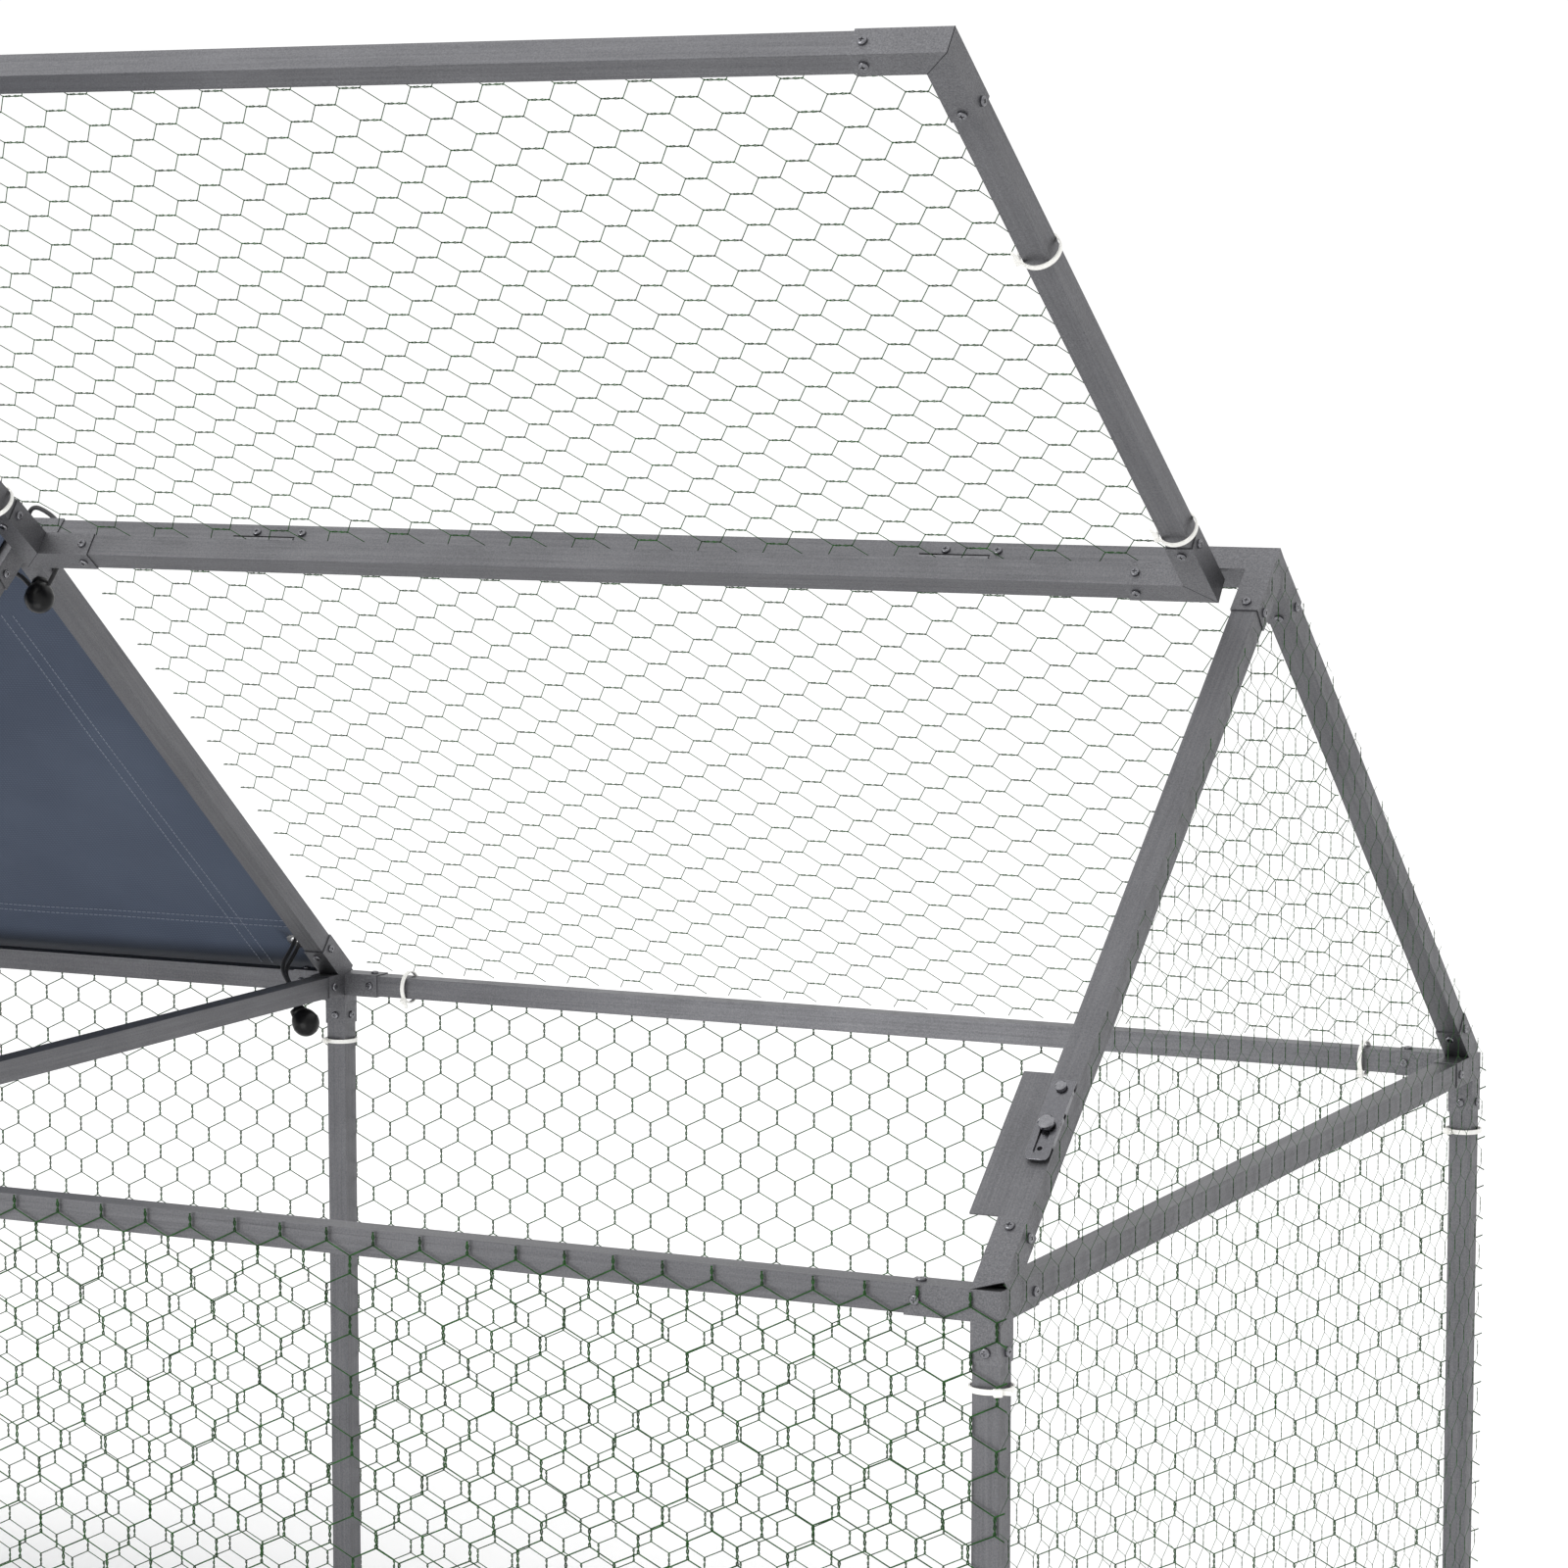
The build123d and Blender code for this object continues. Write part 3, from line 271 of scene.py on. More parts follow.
GRAINS = {
    "along_length": RIGHT,
    "across": REARWARD,
    "upright": UP,
    "front_slope": down_slope(FRONT),
    "rear_slope": down_slope(REAR),
    "lid_side": LID_DOWN,
}
TUBE_TONES = ("#606063", "#7c7c7f")
STEELS = {key: galvanised(f"galvanised_tube_{key}", way, TUBE_TONES) for key, way in GRAINS.items()}
SLEEVE_STEEL = galvanised("galvanised_sleeve", RIGHT, ("#606063", "#7e7e81"), streaked=0.1)
SCREW_ZINC = zinc_plate("zinc_screw", ("#707074", "#7e7e82"), 0.24)
LATCH_ZINC = zinc_plate("zinc_pressing", ("#717175", "#79797d"), 0.24)
KNOB_ZINC = zinc_plate("turned_zinc", ("#86868a", "#909094"), 0.2)
HINGE_ZINC = zinc_plate("galvanised_hinge", ("#6c6c6f", "#7e7e81"), 0.4)
EYELET_METAL = zinc_plate("pressed_eyelet", ("#a2a2a5", "#c2c2c4"), 0.25)
# Green plastic coating on steel wire: dark and slightly glossy, paler in 8 mm patches where the coat is thin
WIRE = patterned(
    "green_coated_wire",
    ("#0a2809", "#1c5317"),
    8.33,
    contrast=(0.3, 0.7),
    Roughness=0.5,
    Specular_IOR_Level=0.25,
)
# Natural nylon: milky white, with a soft gloss and a faint moulded haze of 3 mm
NYLON = patterned("white_nylon", ("#e2e1dc", "#f7f6f2"), 3.03, Roughness=0.42, IOR=1.53)
CLOTH = coated_cloth()
# Polyester sewing thread: pale grey-blue, with a soft lustre and a fleck of 1 mm
THREAD = patterned("pale_sewing_thread", ("#6c7484", "#868d9b"), 1.0, Roughness=0.55, Sheen_Weight=0.3)
ELASTIC = braided_elastic()
# Moulded polypropylene: black and smooth, with 5 mm flow marks that ripple its gloss a little
BALL_PLASTIC = patterned(
    "black_moulded_plastic",
    ("#060607", "#101012"),
    5.0,
    bump=(0.08, 0.0003),
    Roughness=0.3,
    Specular_IOR_Level=0.2,
)
# Shadow in the closed joint between two mitred sleeves: near black, dull
SEAM = zinc_plate("mitre_joint", ("#29292b", "#333336"), 0.5)


def finish_for(name):
    """Finish of a solid that stays in view, by what it is and which way it runs."""
    if name.endswith("sleeves") or name.endswith("sleeve"):
        return SLEEVE_STEEL
    if name.endswith("screws"):
        return SCREW_ZINC
    if name in ("latch_knob", "latch_stud"):
        return KNOB_ZINC
    if name.startswith("latch"):
        return LATCH_ZINC
    if name.startswith("hinge"):
        return HINGE_ZINC
    if name == "cover_eyelets":
        return EYELET_METAL
    if name.endswith("post"):
        return STEELS["upright"]
    if name.startswith("front") and name.endswith("rafter") or name == "lid_stop_plate":
        return STEELS["front_slope"]
    if name.endswith("rafter"):
        return STEELS["rear_slope"]
    if name in ("lid_left_rail", "lid_right_rail"):
        return STEELS["lid_side"]
    if name.endswith("end_rail") or name == "middle_tie_rail":
        return STEELS["across"]
    return STEELS["along_length"]


for node_name, node_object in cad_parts.items():
    node_object.data.materials.clear()
    node_object.data.materials.append(finish_for(node_name))


# Helpers for the pieces


def mesh_object(name, bm):
    """Makes the mesh an object of the scene."""
    mesh = bpy.data.meshes.new(name)
    bm.to_mesh(mesh)
    bm.free()
    made = bpy.data.objects.new(name, mesh)
    scene.collection.objects.link(made)
    return made


def piece(name, bm, body, material, smooth=False):
    """Makes the mesh an object that rides on a body."""
    made = mesh_object(name, bm)
    made.data.materials.append(material)
    for face in made.data.polygons:
        face.use_smooth = smooth
    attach(made, body)
    return made


def everything(bm):
    """All that the mesh is made of."""
    return bm.verts[:] + bm.edges[:] + bm.faces[:]


def newer(bm, before):
    """Vertices added since the set of those before was taken."""
    return [vert for vert in bm.verts if vert not in before]


def edges_of(verts):
    """Edges that end at any of these vertices."""
    return list({edge for vert in verts for edge in vert.link_edges})


def close_ends(bm, most_sides):
    """Fills the open ends of tubes and strips."""
    bmesh.ops.holes_fill(bm, edges=[edge for edge in bm.edges if edge.is_boundary], sides=most_sides)


def rod(bm, start, end, length, radius, sides):
    """Straight rod of this length, midway between two points and in line with them."""
    place = Matrix.Translation((start + end) / 2) @ pointing(end - start)
    bmesh.ops.create_cone(
        bm, cap_ends=True, segments=sides, radius1=radius, radius2=radius, depth=length, matrix=place
    )


# Hexagonal netting: twisted pairs joined by single wires. A cell is its width, its period along the
# twist and the twist's length.
FRONT_WIRE = 0.00051
REAR_WIRE = 0.00050
ROOF_WIRE = 0.00037
END_WIRE = 0.00020
STRAND_SWELL = 1.25
PAIR_TURNS = 1.25
PAIR_STEPS = 6
STRAND_SIDES = 3
WIRE_SIDES = 4
CUT_SIDES = 8
WALL_CELL = (0.0366, 0.0420, 0.0122)
ROOF_CELL = (0.0353, 0.0547, 0.0160)
LID_CELL = (0.0338, 0.0547, 0.0160)
END_CELL = (0.0276, 0.0408, 0.0123)
NET_LIFT = HALF_SLEEVE + 0.0013
NET_WANDER = 0.0011
NET_RIPPLE = 0.0006
WANDER_SCALE = 11.0
# The drift has a fixed seed, so that it is the same on every run
NET_SEED = 7
noise.seed_set(NET_SEED)

# How far the nets reach, and where one twisted pair of each is centred
WALL_NET_PAST_POST = 0.0055
FRONT_NET_OVER_EAVE = 0.0090
FRONT_PAIR = (1.0798, 0.6458)
REAR_PAIR = (-0.6121, 0.4809)
END_NET_PAST_POST = 0.003
END_NET_OVER_EAVE = 0.012
END_NET_OVER_RIDGE = 0.013
RIGHT_END_PAIR = (-0.5041, 0.6433)
LEFT_END_PAIR = (0.5041, 0.6433)
ROOF_NET_FROM = 0.0275
ROOF_NET_TO = 1.0666
ROOF_NET_BELOW_RIDGE = 0.004
ROOF_NET_PAST_EAVE = 0.004
ROOF_PAIR = (0.0328, 0.0937)
LID_NET_INSIDE_ENDS = 0.002
LID_NET_INSIDE_FREE = 0.004
LID_NET_FROM_AXIS = 0.0075
LID_PAIR = (0.4689, -0.3485)


def twisted_pair(bm, centre, length, radius):
    """Two strands wound round each other along Y."""
    start = centre - Vector((0, length / 2, 0))
    strand = radius * STRAND_SWELL
    lie = Matrix.Rotation(math.pi / 2, 4, "X")
    ring = []
    for way in (-1, 1):
        place = Matrix.Translation(start + Vector((way * strand, 0, 0))) @ lie
        ring += bmesh.ops.create_circle(bm, segments=STRAND_SIDES, radius=strand, matrix=place)["verts"]
    bmesh.ops.spin(
        bm,
        geom=ring + edges_of(ring),
        cent=start,
        axis=(0, 1, 0),
        dvec=(0, length / PAIR_STEPS, 0),
        angle=PAIR_TURNS * 2 * math.pi,
        steps=PAIR_STEPS,
    )


def doubled(bm, step, times):
    """Copies the whole mesh along a step, doubling it each time."""
    for power in range(times):
        copy = bmesh.ops.duplicate(bm, geom=everything(bm))["geom"]
        verts = [part for part in copy if isinstance(part, bmesh.types.BMVert)]
        bmesh.ops.translate(bm, verts=verts, vec=step * 2**power)


def rectangle(left, low, right, high):
    """Corners of a rectangle, anticlockwise."""
    return [(left, low), (right, low), (right, high), (left, high)]


def netting(name, node, body, outline, place, cell, radius, pair, twists_along_x):
    """Netting cut to a convex outline given anticlockwise, with one twisted pair where pair says."""
    width, period, twist = cell
    bm = bmesh.new()
    low = Vector((0, twist / 2, 0))
    for centre in (Vector((0, 0, 0)), Vector((width / 2, period / 2, 0))):
        twisted_pair(bm, centre, twist, radius)
        for way in (-1, 1):
            high = Vector((way * width / 2, (period - twist) / 2, 0))
            rod(bm, centre + low, centre + high, (high - low).length, radius, WIRE_SIDES)
    close_ends(bm, STRAND_SIDES)
    bmesh.ops.recalc_face_normals(bm, faces=bm.faces)
    across, along = Vector((width, 0, 0)), Vector((0, period, 0))
    if twists_along_x:
        turn = Matrix.Rotation(-math.pi / 2, 4, "Z")
        bmesh.ops.transform(bm, matrix=turn, verts=bm.verts)
        across, along = turn @ across, turn @ along
    start = Vector((*pair, 0))
    corners = [Vector((x, y, 0)) for x, y in outline]
    # The first tile sits far enough back, in whole repeats, for the copies to reach past every corner
    for step in (across, along):
        reach = [(corner - start).dot(step) / step.length_squared for corner in corners]
        first = math.floor(min(reach)) - 1
        times = math.ceil(math.log2(max(reach) - first + 1))
        bmesh.ops.translate(bm, verts=bm.verts, vec=step * first)
        doubled(bm, step, times)
    bmesh.ops.translate(bm, verts=bm.verts, vec=start)
    for a, b in zip(corners, corners[1:] + corners[:1]):
        out = (b - a).cross(UP)
        bmesh.ops.bisect_plane(bm, geom=everything(bm), plane_co=a, plane_no=out, clear_outer=True)
    close_ends(bm, CUT_SIDES)
    # The mesh is never quite even: cells drift in its plane and it ripples a little out of it
    for vert in bm.verts:
        drift = noise.noise_vector(vert.co * WANDER_SCALE)
        vert.co += Vector((drift.x * NET_WANDER, drift.y * NET_WANDER, drift.z * NET_RIPPLE))
    bmesh.ops.transform(bm, matrix=place, verts=bm.verts)
    made = piece(name, bm, body, WIRE)
    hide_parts(node)


def wall_nets():
    """Front and rear walls, each one length of netting over both bays."""
    half = BAY + HALF_TUBE + WALL_NET_PAST_POST
    for name, side, top, radius, pair in (
        ("front", FRONT, EAVE + FRONT_NET_OVER_EAVE, FRONT_WIRE, FRONT_PAIR),
        ("rear", REAR, EAVE, REAR_WIRE, REAR_PAIR),
    ):
        place = axes(Vector((0, side * (SPAN / 2 + NET_LIFT), 0)), RIGHT * -side, UP)
        outline = rectangle(-half, BASE, half, top)
        node = f"{name}_wall_netting"
        netting(f"{name}_netting", node, FRAME_BODY, outline, place, WALL_CELL, radius, pair, False)


def end_nets():
    """Ends with their gables, each one piece that runs over the end rail and rafters."""
    half = SPAN / 2 + HALF_TUBE + END_NET_PAST_POST
    shoulder = EAVE + END_NET_OVER_EAVE
    peak = RIDGE + END_NET_OVER_RIDGE
    outline = [(-half, BASE), (half, BASE), (half, shoulder), (0, peak), (-half, shoulder)]
    for name, out, pair in (("right", 1, RIGHT_END_PAIR), ("left", -1, LEFT_END_PAIR)):
        place = axes(Vector((out * (BAY + NET_LIFT), 0, 0)), REARWARD * out, UP)
        node = f"{name}_end_netting"
        netting(f"{name}_end_net", node, FRAME_BODY, outline, place, END_CELL, END_WIRE, pair, False)


def roof_nets():
    """Rear slope of the right bay, with free ends beside both rafters, and the lid."""
    low = SPAN / 2 / math.cos(SLOPE) + ROOF_NET_PAST_EAVE
    outline = rectangle(ROOF_NET_FROM, ROOF_NET_BELOW_RIDGE, ROOF_NET_TO, low)
    place = axes(RIDGE_TOP + slope_normal(REAR) * NET_LIFT, RIGHT, down_slope(REAR))
    node = "rear_roof_netting"
    netting("rear_roof_net", node, FRAME_BODY, outline, place, ROOF_CELL, ROOF_WIRE, ROOF_PAIR, True)
    half = LID_HALF_LENGTH + HALF_TUBE - LID_NET_INSIDE_ENDS
    far = -LID_FREE_RAIL - HALF_TUBE + LID_NET_INSIDE_FREE
    outline = rectangle(-half, far, half, -LID_NET_FROM_AXIS)
    place = LID_PLACE @ Matrix.Translation((0, 0, LID_MID + NET_LIFT))
    netting("lid_net", "lid_netting", LID_BODY, outline, place, LID_CELL, ROOF_WIRE, LID_PAIR, True)


# Dark lines where the lid's corner sleeves are mitred
SEAM_WIDTH = 0.0005
SEAM_PROUD = 0.00006


def lid_seams():
    """A thin plate in each mitre, of which only the edges show."""
    bm = bmesh.new()
    high = 2 * (HALF_SLEEVE + SEAM_PROUD)
    for x_way in (-1, 1):
        for distance, y_way in ((LID_HINGE_RAIL, 1), (LID_FREE_RAIL, -1)):
            plate = bmesh.ops.create_cube(bm, size=1.0)["verts"]
            bmesh.ops.scale(bm, vec=(SEAM_WIDTH, high * math.sqrt(2), high), verts=plate)
            turn = Matrix.Rotation(-x_way * y_way * math.pi / 4, 3, "Z")
            bmesh.ops.rotate(bm, cent=(0, 0, 0), matrix=turn, verts=plate)
            bmesh.ops.translate(bm, vec=(x_way * LID_HALF_LENGTH, -distance, LID_MID), verts=plate)
    bmesh.ops.transform(bm, matrix=LID_PLACE, verts=bm.verts)
    piece("lid_mitre_seams", bm, LID_BODY, SEAM)


# Slanting lips that leave a wedge open at the foot of the end rafters' sleeves
RAFTER_MOUTH = 0.0030
LIP_LENGTH = 0.0081


def eave_lips():
    """Top wall of each end rafter's sleeve, drawn down on the side towards the middle of the cage."""
    bm = bmesh.new()
    top_wall = HALF_SLEEVE - SLEEVE_WALL / 2
    for station in (-BAY, BAY):
        outwards = math.copysign(1, station)
        for side in (FRONT, REAR):
            foot = Vector((station, side * SPAN / 2, EAVE + RAFTER_LIFT))
            mouth = foot - down_slope(side) * RAFTER_MOUTH + slope_normal(side) * top_wall
            before = set(bm.verts)
            plate = bmesh.ops.create_cube(bm, size=1.0)["verts"]
            bmesh.ops.scale(bm, vec=(2 * HALF_SLEEVE, LIP_LENGTH, SLEEVE_WALL), verts=plate)
            bmesh.ops.translate(bm, vec=(0, -LIP_LENGTH / 2, 0), verts=plate)
            # The outer corners of the lower edge are drawn up, which leaves a triangle
            drawn = [vert for vert in plate if vert.co.x * outwards > 0 and vert.co.y < -LIP_LENGTH / 2]
            bmesh.ops.translate(bm, vec=(0, LIP_LENGTH, 0), verts=drawn)
            bmesh.ops.remove_doubles(bm, verts=plate, dist=TINY)
            bmesh.ops.transform(bm, matrix=axes(mouth, RIGHT, -down_slope(side)), verts=newer(bm, before))
    bmesh.ops.recalc_face_normals(bm, faces=bm.faces)
    piece("eave_corner_lips", bm, FRAME_BODY, SLEEVE_STEEL)


# Cable ties
TIE_INNER = 0.01385
TIE_THICK = 0.0012
TIE_WIDTH = 0.0036
TIE_STEPS = 40
TIE_HEAD = (0.0046, 0.0058, 0.0052)
TIE_HEAD_OUT = 0.0002
TIE_HEAD_ROUND = 0.0007
TIE_TAIL = (TIE_THICK, 0.006, TIE_WIDTH * 0.85)
TIE_TAIL_TURN = math.radians(-24)
TIE_TAIL_UP_HEAD = 0.7
TIE_TAIL_SHOWN = 0.42
POST_TIE_HEIGHT = 0.5857
POST_TIE_HEADS = {FRONT: Vector((0.75, -1, 0)), REAR: Vector((-0.8, -1, 0))}
RAIL_TIES = (0.0745, 1.003)
RAIL_TIE_HEAD = Vector((0, -1, -1))
LID_TIES = (0.078, 0.402)
LID_TIE_HEAD = Vector((-1, 0, -0.6))


def cable_tie(bm, centre, along, head_way):
    """Strap round a tube, with its locking head and the cut tail that comes through it."""
    head_way = head_way.normalized()
    place = axes(centre, head_way, along.cross(head_way))
    before = set(bm.verts)
    strap = bmesh.ops.create_grid(bm, x_segments=1, y_segments=1, size=0.5)["verts"]
    bmesh.ops.scale(bm, vec=(TIE_THICK, TIE_WIDTH, 1), verts=strap)
    bmesh.ops.rotate(bm, cent=(0, 0, 0), matrix=Matrix.Rotation(math.pi / 2, 3, "X"), verts=strap)
    bmesh.ops.translate(bm, vec=(TIE_INNER + TIE_THICK / 2, 0, 0), verts=strap)
    section = strap + edges_of(strap)
    bmesh.ops.delete(bm, geom=strap[0].link_faces[:], context="FACES_ONLY")
    bmesh.ops.spin(
        bm, geom=section, cent=(0, 0, 0), axis=(0, 0, 1), angle=2 * math.pi, steps=TIE_STEPS, use_merge=True
    )
    head = bmesh.ops.create_cube(bm, size=1.0)["verts"]
    bmesh.ops.scale(bm, vec=TIE_HEAD, verts=head)
    bmesh.ops.translate(bm, vec=(TIE_INNER + TIE_HEAD[0] / 2 + TIE_HEAD_OUT, 0, 0), verts=head)
    bmesh.ops.bevel(
        bm,
        geom=edges_of(head),
        offset=TIE_HEAD_ROUND,
        offset_type="OFFSET",
        segments=2,
        profile=0.5,
        affect="EDGES",
        material=-1,
    )
    tail = bmesh.ops.create_cube(bm, size=1.0)["verts"]
    bmesh.ops.scale(bm, vec=TIE_TAIL, verts=tail)
    bmesh.ops.rotate(bm, cent=(0, 0, 0), matrix=Matrix.Rotation(TIE_TAIL_TURN, 3, "Z"), verts=tail)
    out = TIE_INNER + TIE_HEAD[0] * TIE_TAIL_UP_HEAD
    past = TIE_HEAD[1] / 2 + TIE_TAIL[1] * TIE_TAIL_SHOWN
    bmesh.ops.translate(bm, vec=(out, past, 0), verts=tail)
    bmesh.ops.transform(bm, matrix=place, verts=newer(bm, before))


def frame_ties():
    """Ties round the six posts and, at two places, round the rear eave rail."""
    bm = bmesh.new()
    for x in (-BAY, 0.0, BAY):
        for side in (FRONT, REAR):
            cable_tie(bm, Vector((x, side * SPAN / 2, POST_TIE_HEIGHT)), UP, POST_TIE_HEADS[side])
    for x in RAIL_TIES:
        cable_tie(bm, Vector((x, SPAN / 2, EAVE)), RIGHT, RAIL_TIE_HEAD)
    bmesh.ops.recalc_face_normals(bm, faces=bm.faces)
    made = piece("frame_ties", bm, FRAME_BODY, NYLON)
    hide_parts("frame_cable_ties")


def lid_ties():
    """Ties round the lid's two side rails."""
    bm = bmesh.new()
    for way in (-1, 1):
        for distance in LID_TIES:
            cable_tie(bm, Vector((way * LID_HALF_LENGTH, -distance, LID_MID)), REARWARD, LID_TIE_HEAD)
    bmesh.ops.recalc_face_normals(bm, faces=bm.faces)
    bmesh.ops.transform(bm, matrix=LID_PLACE, verts=bm.verts)
    made = piece("lid_ties", bm, LID_BODY, NYLON)
    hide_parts("lid_cable_ties")


# Cover over the left bay
EYELET_RADIUS = 0.0076
EYELET_SIDES = 32
EYELET_CUT = 0.02
EYELET_FROM_RAFTER = 0.036
EYELET_DOWN = COVER_DOWN - 0.052
EYELET_FROM_RIDGE = 0.045
COVER_COLUMNS = 60
COVER_ROWS = 72
COVER_SAG = 0.006
COVER_RIPPLE = 0.0016
RIPPLE_SCALE = (9, 6)
RIPPLE_SLICE = 0.3
RIPPLE_RISE = 4
HEM_LINES = (0.076, 0.086)
SIDE_HEM_LINES = (0.0855, 0.0975)
STITCH = 0.0038
STITCH_GAP = 0.0016
STITCH_PITCH = STITCH + STITCH_GAP
STITCH_RADIUS = 0.00034
STITCH_SIDES = 5
STITCH_PROUD = STITCH_RADIUS * 0.4
HEM_STITCH_FROM_SIDE = 0.004
SIDE_STITCH_FROM = 0.130
SIDE_STITCH_FROM_HEM = 0.008


def on_cover(x, s, lift):
    """Point on the cover, s metres from its ridge fold, towards the rear where s is above 0."""
    spare = 1 - ((x - COVER_MIDDLE) / COVER_HALF_LENGTH) ** 2
    hang = max(spare, 0) * math.sin(math.pi * min(abs(s) / COVER_DOWN, 1))
    spot = Vector((x * RIPPLE_SCALE[0], s * RIPPLE_SCALE[1], RIPPLE_SLICE))
    lift += noise.noise(spot) * COVER_RIPPLE * min(1, RIPPLE_RISE * hang) - hang * COVER_SAG
    if abs(s) < TINY:
        return Vector((x, 0, RIDGE + lift / math.cos(SLOPE)))
    return on_slope(x, REAR if s > 0 else FRONT, abs(s), lift)


def cover_eyelets():
    """Where the eyelets are: along the length, and from the ridge fold as on_cover takes it."""
    found = []
    for station, way in ((0.0, -1), (-BAY, 1)):
        x = station + way * EYELET_FROM_RAFTER
        found += [(x, side * EYELET_DOWN) for side in (FRONT, REAR)]
        found.append((x, EYELET_FROM_RIDGE))
    return found


def eyelet_holes():
    """Round plugs that cut the cover's holes."""
    bm = bmesh.new()
    for x, s in cover_eyelets():
        side = REAR if s > 0 else FRONT
        bmesh.ops.create_cone(
            bm,
            cap_ends=True,
            segments=EYELET_SIDES,
            radius1=EYELET_RADIUS,
            radius2=EYELET_RADIUS,
            depth=EYELET_CUT,
            matrix=axes(on_cover(x, s, COVER_LIFT), RIGHT, down_slope(side) * side),
        )
    return mesh_object("eyelet_holes", bm)


def cover():
    """The cloth: one sheet folded over the ridge, with a hole at each eyelet."""
    bm = bmesh.new()
    bmesh.ops.create_grid(bm, x_segments=COVER_COLUMNS, y_segments=COVER_ROWS, size=1.0)
    layer = bm.loops.layers.uv.new("cut")
    for face in bm.faces:
        for loop in face.loops:
            loop[layer].uv = (loop.vert.co.x * COVER_HALF_LENGTH, loop.vert.co.y * COVER_DOWN)
    for vert in bm.verts:
        x = COVER_MIDDLE + vert.co.x * COVER_HALF_LENGTH
        vert.co = on_cover(x, vert.co.y * COVER_DOWN, COVER_LIFT)
    bmesh.ops.recalc_face_normals(bm, faces=bm.faces)
    made = piece("cover_cloth", bm, FRAME_BODY, CLOTH, smooth=True)
    wall = made.modifiers.new("thickness", "SOLIDIFY")
    wall.thickness = COVER_THICK
    wall.offset = 1.0
    cutter = eyelet_holes()
    holes = made.modifiers.new("holes", "BOOLEAN")
    holes.object = cutter
    holes.operation = "DIFFERENCE"
    bpy.context.view_layer.update()
    shaped = made.evaluated_get(bpy.context.evaluated_depsgraph_get())
    whole = bpy.data.meshes.new_from_object(shaped)
    made.modifiers.clear()
    made.data = whole
    bpy.data.objects.remove(cutter)
    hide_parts("roof_cover")


def stitch_stops(first, last):
    """Places from first to last at most, one stitch and its gap apart."""
    return [first + i * STITCH_PITCH for i in range(int((last - first) / STITCH_PITCH) + 1)]


def stitch_row(bm, points):
    """One short stitch between each two neighbouring points on a face of the cover."""
    for start, end in zip(points, points[1:]):
        rod(bm, start, end, STITCH, STITCH_RADIUS, STITCH_SIDES)


def cover_stitches():
    """Double rows round the cover's wide hems, on both faces."""
    bm = bmesh.new()
    reach = COVER_HALF_LENGTH - HEM_STITCH_FROM_SIDE
    xs = stitch_stops(COVER_MIDDLE - reach, COVER_MIDDLE + reach)
    downs = stitch_stops(SIDE_STITCH_FROM, COVER_DOWN - SIDE_STITCH_FROM_HEM)
    for lift in (COVER_LIFT - STITCH_PROUD, COVER_LIFT + COVER_THICK + STITCH_PROUD):
        for side in (FRONT, REAR):
            for line in HEM_LINES:
                s = side * (COVER_DOWN - line)
                stitch_row(bm, [on_cover(x, s, lift) for x in xs])
            for line in SIDE_HEM_LINES:
                for way in (-1, 1):
                    x = COVER_MIDDLE + way * (COVER_HALF_LENGTH - line)
                    stitch_row(bm, [on_cover(x, side * down, lift) for down in downs])
    piece("cover_stitches", bm, FRAME_BODY, THREAD)


# Elastic cords with balls that hold the cover
CORD_RADIUS = 0.002
CORD_SPREAD = 0.004
CORD_LEAD = 0.012
CORD_ROUNDNESS = 4
CORD_STEPS = 12
CORD_HANG = COVER_LIFT + COVER_THICK / 2
BALL_RADIUS = 0.0125
BALL_SINK = 0.008
BALL_SIDES = 32
BALL_RINGS = 20
BALL_GIRDLE = 1.025
BALL_STRETCH = 1.2
COLLAR_FOOT = 0.0078
COLLAR_TOP = 0.0066
COLLAR_DEPTH = 0.006
COLLAR_HEIGHT = BALL_RADIUS * 1.12
COLLAR_SIDES = 24
EAVE_BALL_INSIDE = 0.063
EAVE_BALL_BELOW = 0.030
LEFT_EAVE_BALL = 0.015
RIDGE_BALL_BELOW = 0.052
MIDDLE_RIDGE_BALL = 0.019
LEFT_RIDGE_BALL = 0.034
LOOP_OVER_EYELET = 0.018
# Turns of an eave cord round its rail: away from the rafter, outwards and above the eave
EAVE_TURNS = [(0.014, 0.0, -HALF_SLEEVE - CORD_RADIUS), (0.0207, 0.010, 0.0), (0.038, 0.020, 0.015)]
# Turns of the middle ridge cord, from the top of the ridge
LOOP_RISING = [(0.027, 0.018, -0.028), (0.024, 0.030, 0.002), (0.008, 0.036, 0.016), (-0.020, 0.044, 0.024)]
LOOP_RETURNING = [(-0.016, 0.014, -0.032), (0.002, 0.006, -0.037)]


def into_ball(ball, first):
    """Where a cord that comes from a point ends inside its ball."""
    return ball + (first - ball).normalized() * (BALL_RADIUS - BALL_SINK)


def doubled_cord(eyelet, side, ball, waypoints):
    """Points of a cord that runs up through its eyelet and back by the same way."""
    normal = slope_normal(side)
    spread = down_slope(side) * CORD_SPREAD
    lead = eyelet - normal * CORD_LEAD
    start = into_ball(ball, (waypoints + [lead])[0])
    up = [start] + waypoints + [lead, eyelet + normal * CORD_LEAD / 2]
    return [point + spread for point in up] + [point - spread for point in reversed(up)]


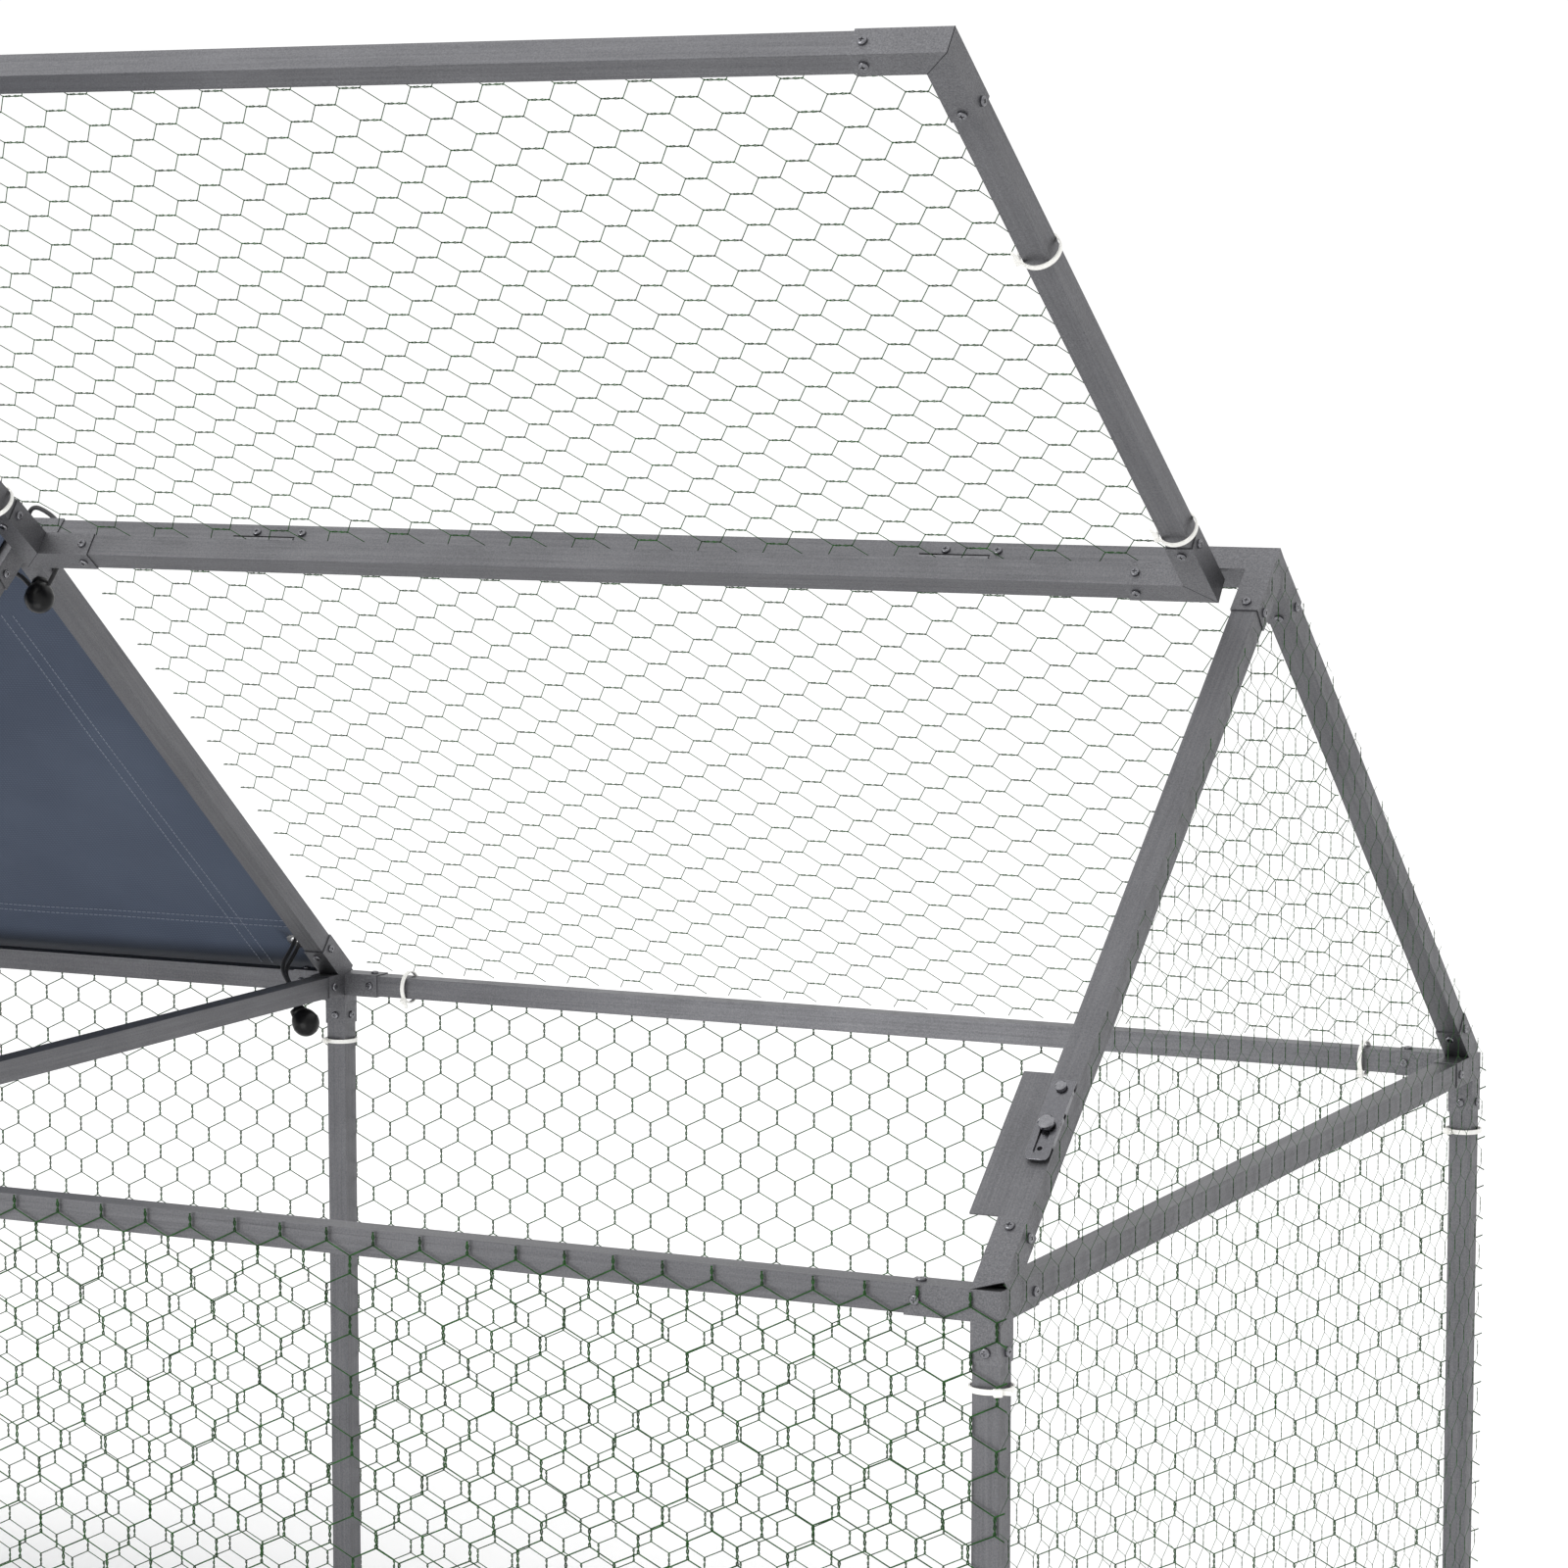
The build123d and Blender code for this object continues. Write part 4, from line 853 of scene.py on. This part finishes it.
def looped_cord(eyelet, side, ball):
    """Points of the cord that rises beside the rafter and returns through the eyelet from above."""
    normal = slope_normal(side)
    rising = [RIDGE_TOP + Vector(turn) for turn in LOOP_RISING]
    returning = [RIDGE_TOP + Vector(turn) for turn in LOOP_RETURNING]
    pulled = eyelet + RIGHT * CORD_SPREAD
    turns = rising + [pulled + normal * LOOP_OVER_EYELET, pulled - normal * CORD_LEAD] + returning
    return [into_ball(ball, turns[0])] + turns + [into_ball(ball, turns[-1])]


def bungee_routes():
    """Name, ball and the points that each cord follows."""
    routes = []
    for side, side_name in ((FRONT, "front"), (REAR, "rear")):
        for station, way, inside, name in ((0.0, -1, 0.0, "middle"), (-BAY, 1, LEFT_EAVE_BALL, "left")):
            eyelet = on_slope(station + way * EYELET_FROM_RAFTER, side, EYELET_DOWN, CORD_HANG)
            y = side * (SPAN / 2 - EAVE_BALL_INSIDE)
            ball = Vector((station + way * inside, y, EAVE - EAVE_BALL_BELOW))
            turns = [
                Vector((station + way * away, y + side * out, EAVE + above)) for away, out, above in EAVE_TURNS
            ]
            routes.append((f"{side_name}_{name}", ball, doubled_cord(eyelet, side, ball, turns)))
    eyelet = on_slope(-EYELET_FROM_RAFTER, REAR, EYELET_FROM_RIDGE, CORD_HANG)
    ball = Vector((MIDDLE_RIDGE_BALL, 0, RIDGE - RIDGE_BALL_BELOW))
    routes.append(("ridge_middle", ball, looped_cord(eyelet, REAR, ball)))
    eyelet = on_slope(-BAY + EYELET_FROM_RAFTER, REAR, EYELET_FROM_RIDGE, CORD_HANG)
    ball = Vector((-BAY + LEFT_RIDGE_BALL, 0, RIDGE - RIDGE_BALL_BELOW))
    routes.append(("ridge_left", ball, doubled_cord(eyelet, REAR, ball, [])))
    return routes


def cord_curve(name, points):
    """Round cord along a smooth line that the points pull into shape."""
    curve = bpy.data.curves.new(name, "CURVE")
    curve.dimensions = "3D"
    curve.bevel_depth = CORD_RADIUS
    curve.bevel_resolution = CORD_ROUNDNESS
    curve.use_fill_caps = True
    spline = curve.splines.new("NURBS")
    spline.points.add(len(points) - 1)
    for control, point in zip(spline.points, points):
        control.co = (*point, 1.0)
    spline.order_u = 3
    spline.use_endpoint_u = True
    spline.resolution_u = CORD_STEPS
    cord = bpy.data.objects.new(name, curve)
    scene.collection.objects.link(cord)
    curve.materials.append(ELASTIC)
    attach(cord, FRAME_BODY)
    return cord


def cord_ball(bm, centre, towards):
    """Ball with a moulded girdle, a drawn-out shoulder and a collar where the cord goes in."""
    before = set(bm.verts)
    bmesh.ops.create_uvsphere(bm, u_segments=BALL_SIDES, v_segments=BALL_RINGS, radius=BALL_RADIUS)
    sphere = newer(bm, before)
    girdle = [vert for vert in sphere if abs(vert.co.z) < TINY]
    bmesh.ops.scale(bm, vec=(BALL_GIRDLE, BALL_GIRDLE, 1), verts=girdle)
    shoulder = [vert for vert in sphere if vert.co.z > TINY]
    bmesh.ops.scale(bm, vec=(1, 1, BALL_STRETCH), verts=shoulder)
    bmesh.ops.create_cone(
        bm,
        cap_ends=True,
        segments=COLLAR_SIDES,
        radius1=COLLAR_FOOT,
        radius2=COLLAR_TOP,
        depth=COLLAR_DEPTH,
        matrix=Matrix.Translation((0, 0, COLLAR_HEIGHT)),
    )
    place = Matrix.Translation(centre) @ pointing(towards)
    bmesh.ops.transform(bm, matrix=place, verts=newer(bm, before))


def bungees():
    """Elastic cords and their balls."""
    balls = bmesh.new()
    for name, ball, points in bungee_routes():
        cord_curve(f"bungee_cord_{name}", points)
        cord_ball(balls, ball, (points[0] + points[-1]) / 2 - ball)
    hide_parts("bungee_cords")
    shown = piece("bungee_ball_set", balls, FRAME_BODY, BALL_PLASTIC, smooth=True)
    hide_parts("bungee_balls")


wall_nets()
end_nets()
roof_nets()
lid_seams()
eave_lips()
frame_ties()
lid_ties()
cover()
cover_stitches()
bungees()


# Floor, light and camera
FLOOR_REACH = 40.0
PAPER_WHITE = linear("#f7f7f7")
# Surroundings that the metal mirrors: a direction, how squarely it is faced, and the brightness there
SURROUNDINGS = (
    ((0.9, 0.43, 0.0), (-1.0, 1.0), (1.22, 0.85)),  # room, dimmer towards the camera's right
    ((-0.43, 0.9, 0.0), (0.6, 0.92), (0.85, 1.12)),  # white backdrop ahead of the camera
    ((0.0, 0.0, 1.0), (0.35, 0.8), (0.85, 1.4)),  # bright ceiling
)
# Lamps: name, place, aim, size and watts
LAMPS = (
    ("key", (-5.0, -9.0, 8.0), (0.3, 0, 0.6), 4.0, 560),
    ("inner_fill", (0.1, -0.4, 0.35), (0.0, 0.5, 0.6), 0.6, 2.5),
)
CAMERA_PLACE = Vector((2.2039, -3.14105, 1.2753))
CAMERA_RIGHT = Vector((0.9021, 0.4314, -0.0001))
CAMERA_UP = Vector((-0.0453, 0.0950, 0.9944))
CAMERA_LENS = 104.93
CAMERA_SENSOR = 36.0
CAMERA_SEES_TO = 200.0


def paper_floor():
    """Wide floor of white paper: matt, with a mottle too faint to notice."""
    bm = bmesh.new()
    bmesh.ops.create_grid(bm, x_segments=1, y_segments=1, size=FLOOR_REACH)
    floor = mesh_object("floor", bm)
    floor.data.materials.append(patterned("studio_floor", ("#f4f4f4", "#f9f9f9"), 333, Roughness=0.9))


def studio():
    """White surroundings, a key light from the front left and a small fill inside the cage."""
    world = bpy.data.worlds.new("studio")
    world.use_nodes = True
    scene.world = world
    tree = world.node_tree
    way = add(tree, "ShaderNodeTexCoord", {}).outputs["Generated"]
    strength = 0.0
    for towards, facing, levels in SURROUNDINGS:
        faced = add(tree, "ShaderNodeVectorMath", {0: way, 1: towards}, operation="DOT_PRODUCT")
        spread = {"Value": faced.outputs["Value"], "From Min": facing[0], "From Max": facing[1]}
        spread |= {"To Min": levels[0], "To Max": levels[1]}
        level = add(tree, "ShaderNodeMapRange", spread).outputs[0]
        strength = add(tree, "ShaderNodeMath", {0: strength, 1: level}, operation="MAXIMUM").outputs[0]
    tree.links.new(strength, tree.nodes["Background"].inputs["Strength"])
    tree.nodes["Background"].inputs["Color"].default_value = PAPER_WHITE
    for name, place, aim, size, watts in LAMPS:
        lamp = bpy.data.lights.new(name, "AREA")
        lamp.size = size
        lamp.energy = watts
        holder = bpy.data.objects.new(name, lamp)
        holder.location = place
        holder.rotation_euler = (Vector(aim) - Vector(place)).to_track_quat("-Z", "Y").to_euler()
        scene.collection.objects.link(holder)


def camera():
    """Camera where the photograph was taken from, with the same angle of view."""
    lens = bpy.data.cameras.new("camera")
    lens.sensor_fit = "HORIZONTAL"
    lens.sensor_width = CAMERA_SENSOR
    lens.lens = CAMERA_LENS
    lens.clip_end = CAMERA_SEES_TO
    holder = bpy.data.objects.new("camera", lens)
    holder.matrix_world = axes(CAMERA_PLACE, CAMERA_RIGHT.normalized(), CAMERA_UP.normalized())
    scene.collection.objects.link(holder)
    scene.camera = holder


paper_floor()
studio()
camera()
scene.view_settings.view_transform = "Standard"

bpy.context.view_layer.update()
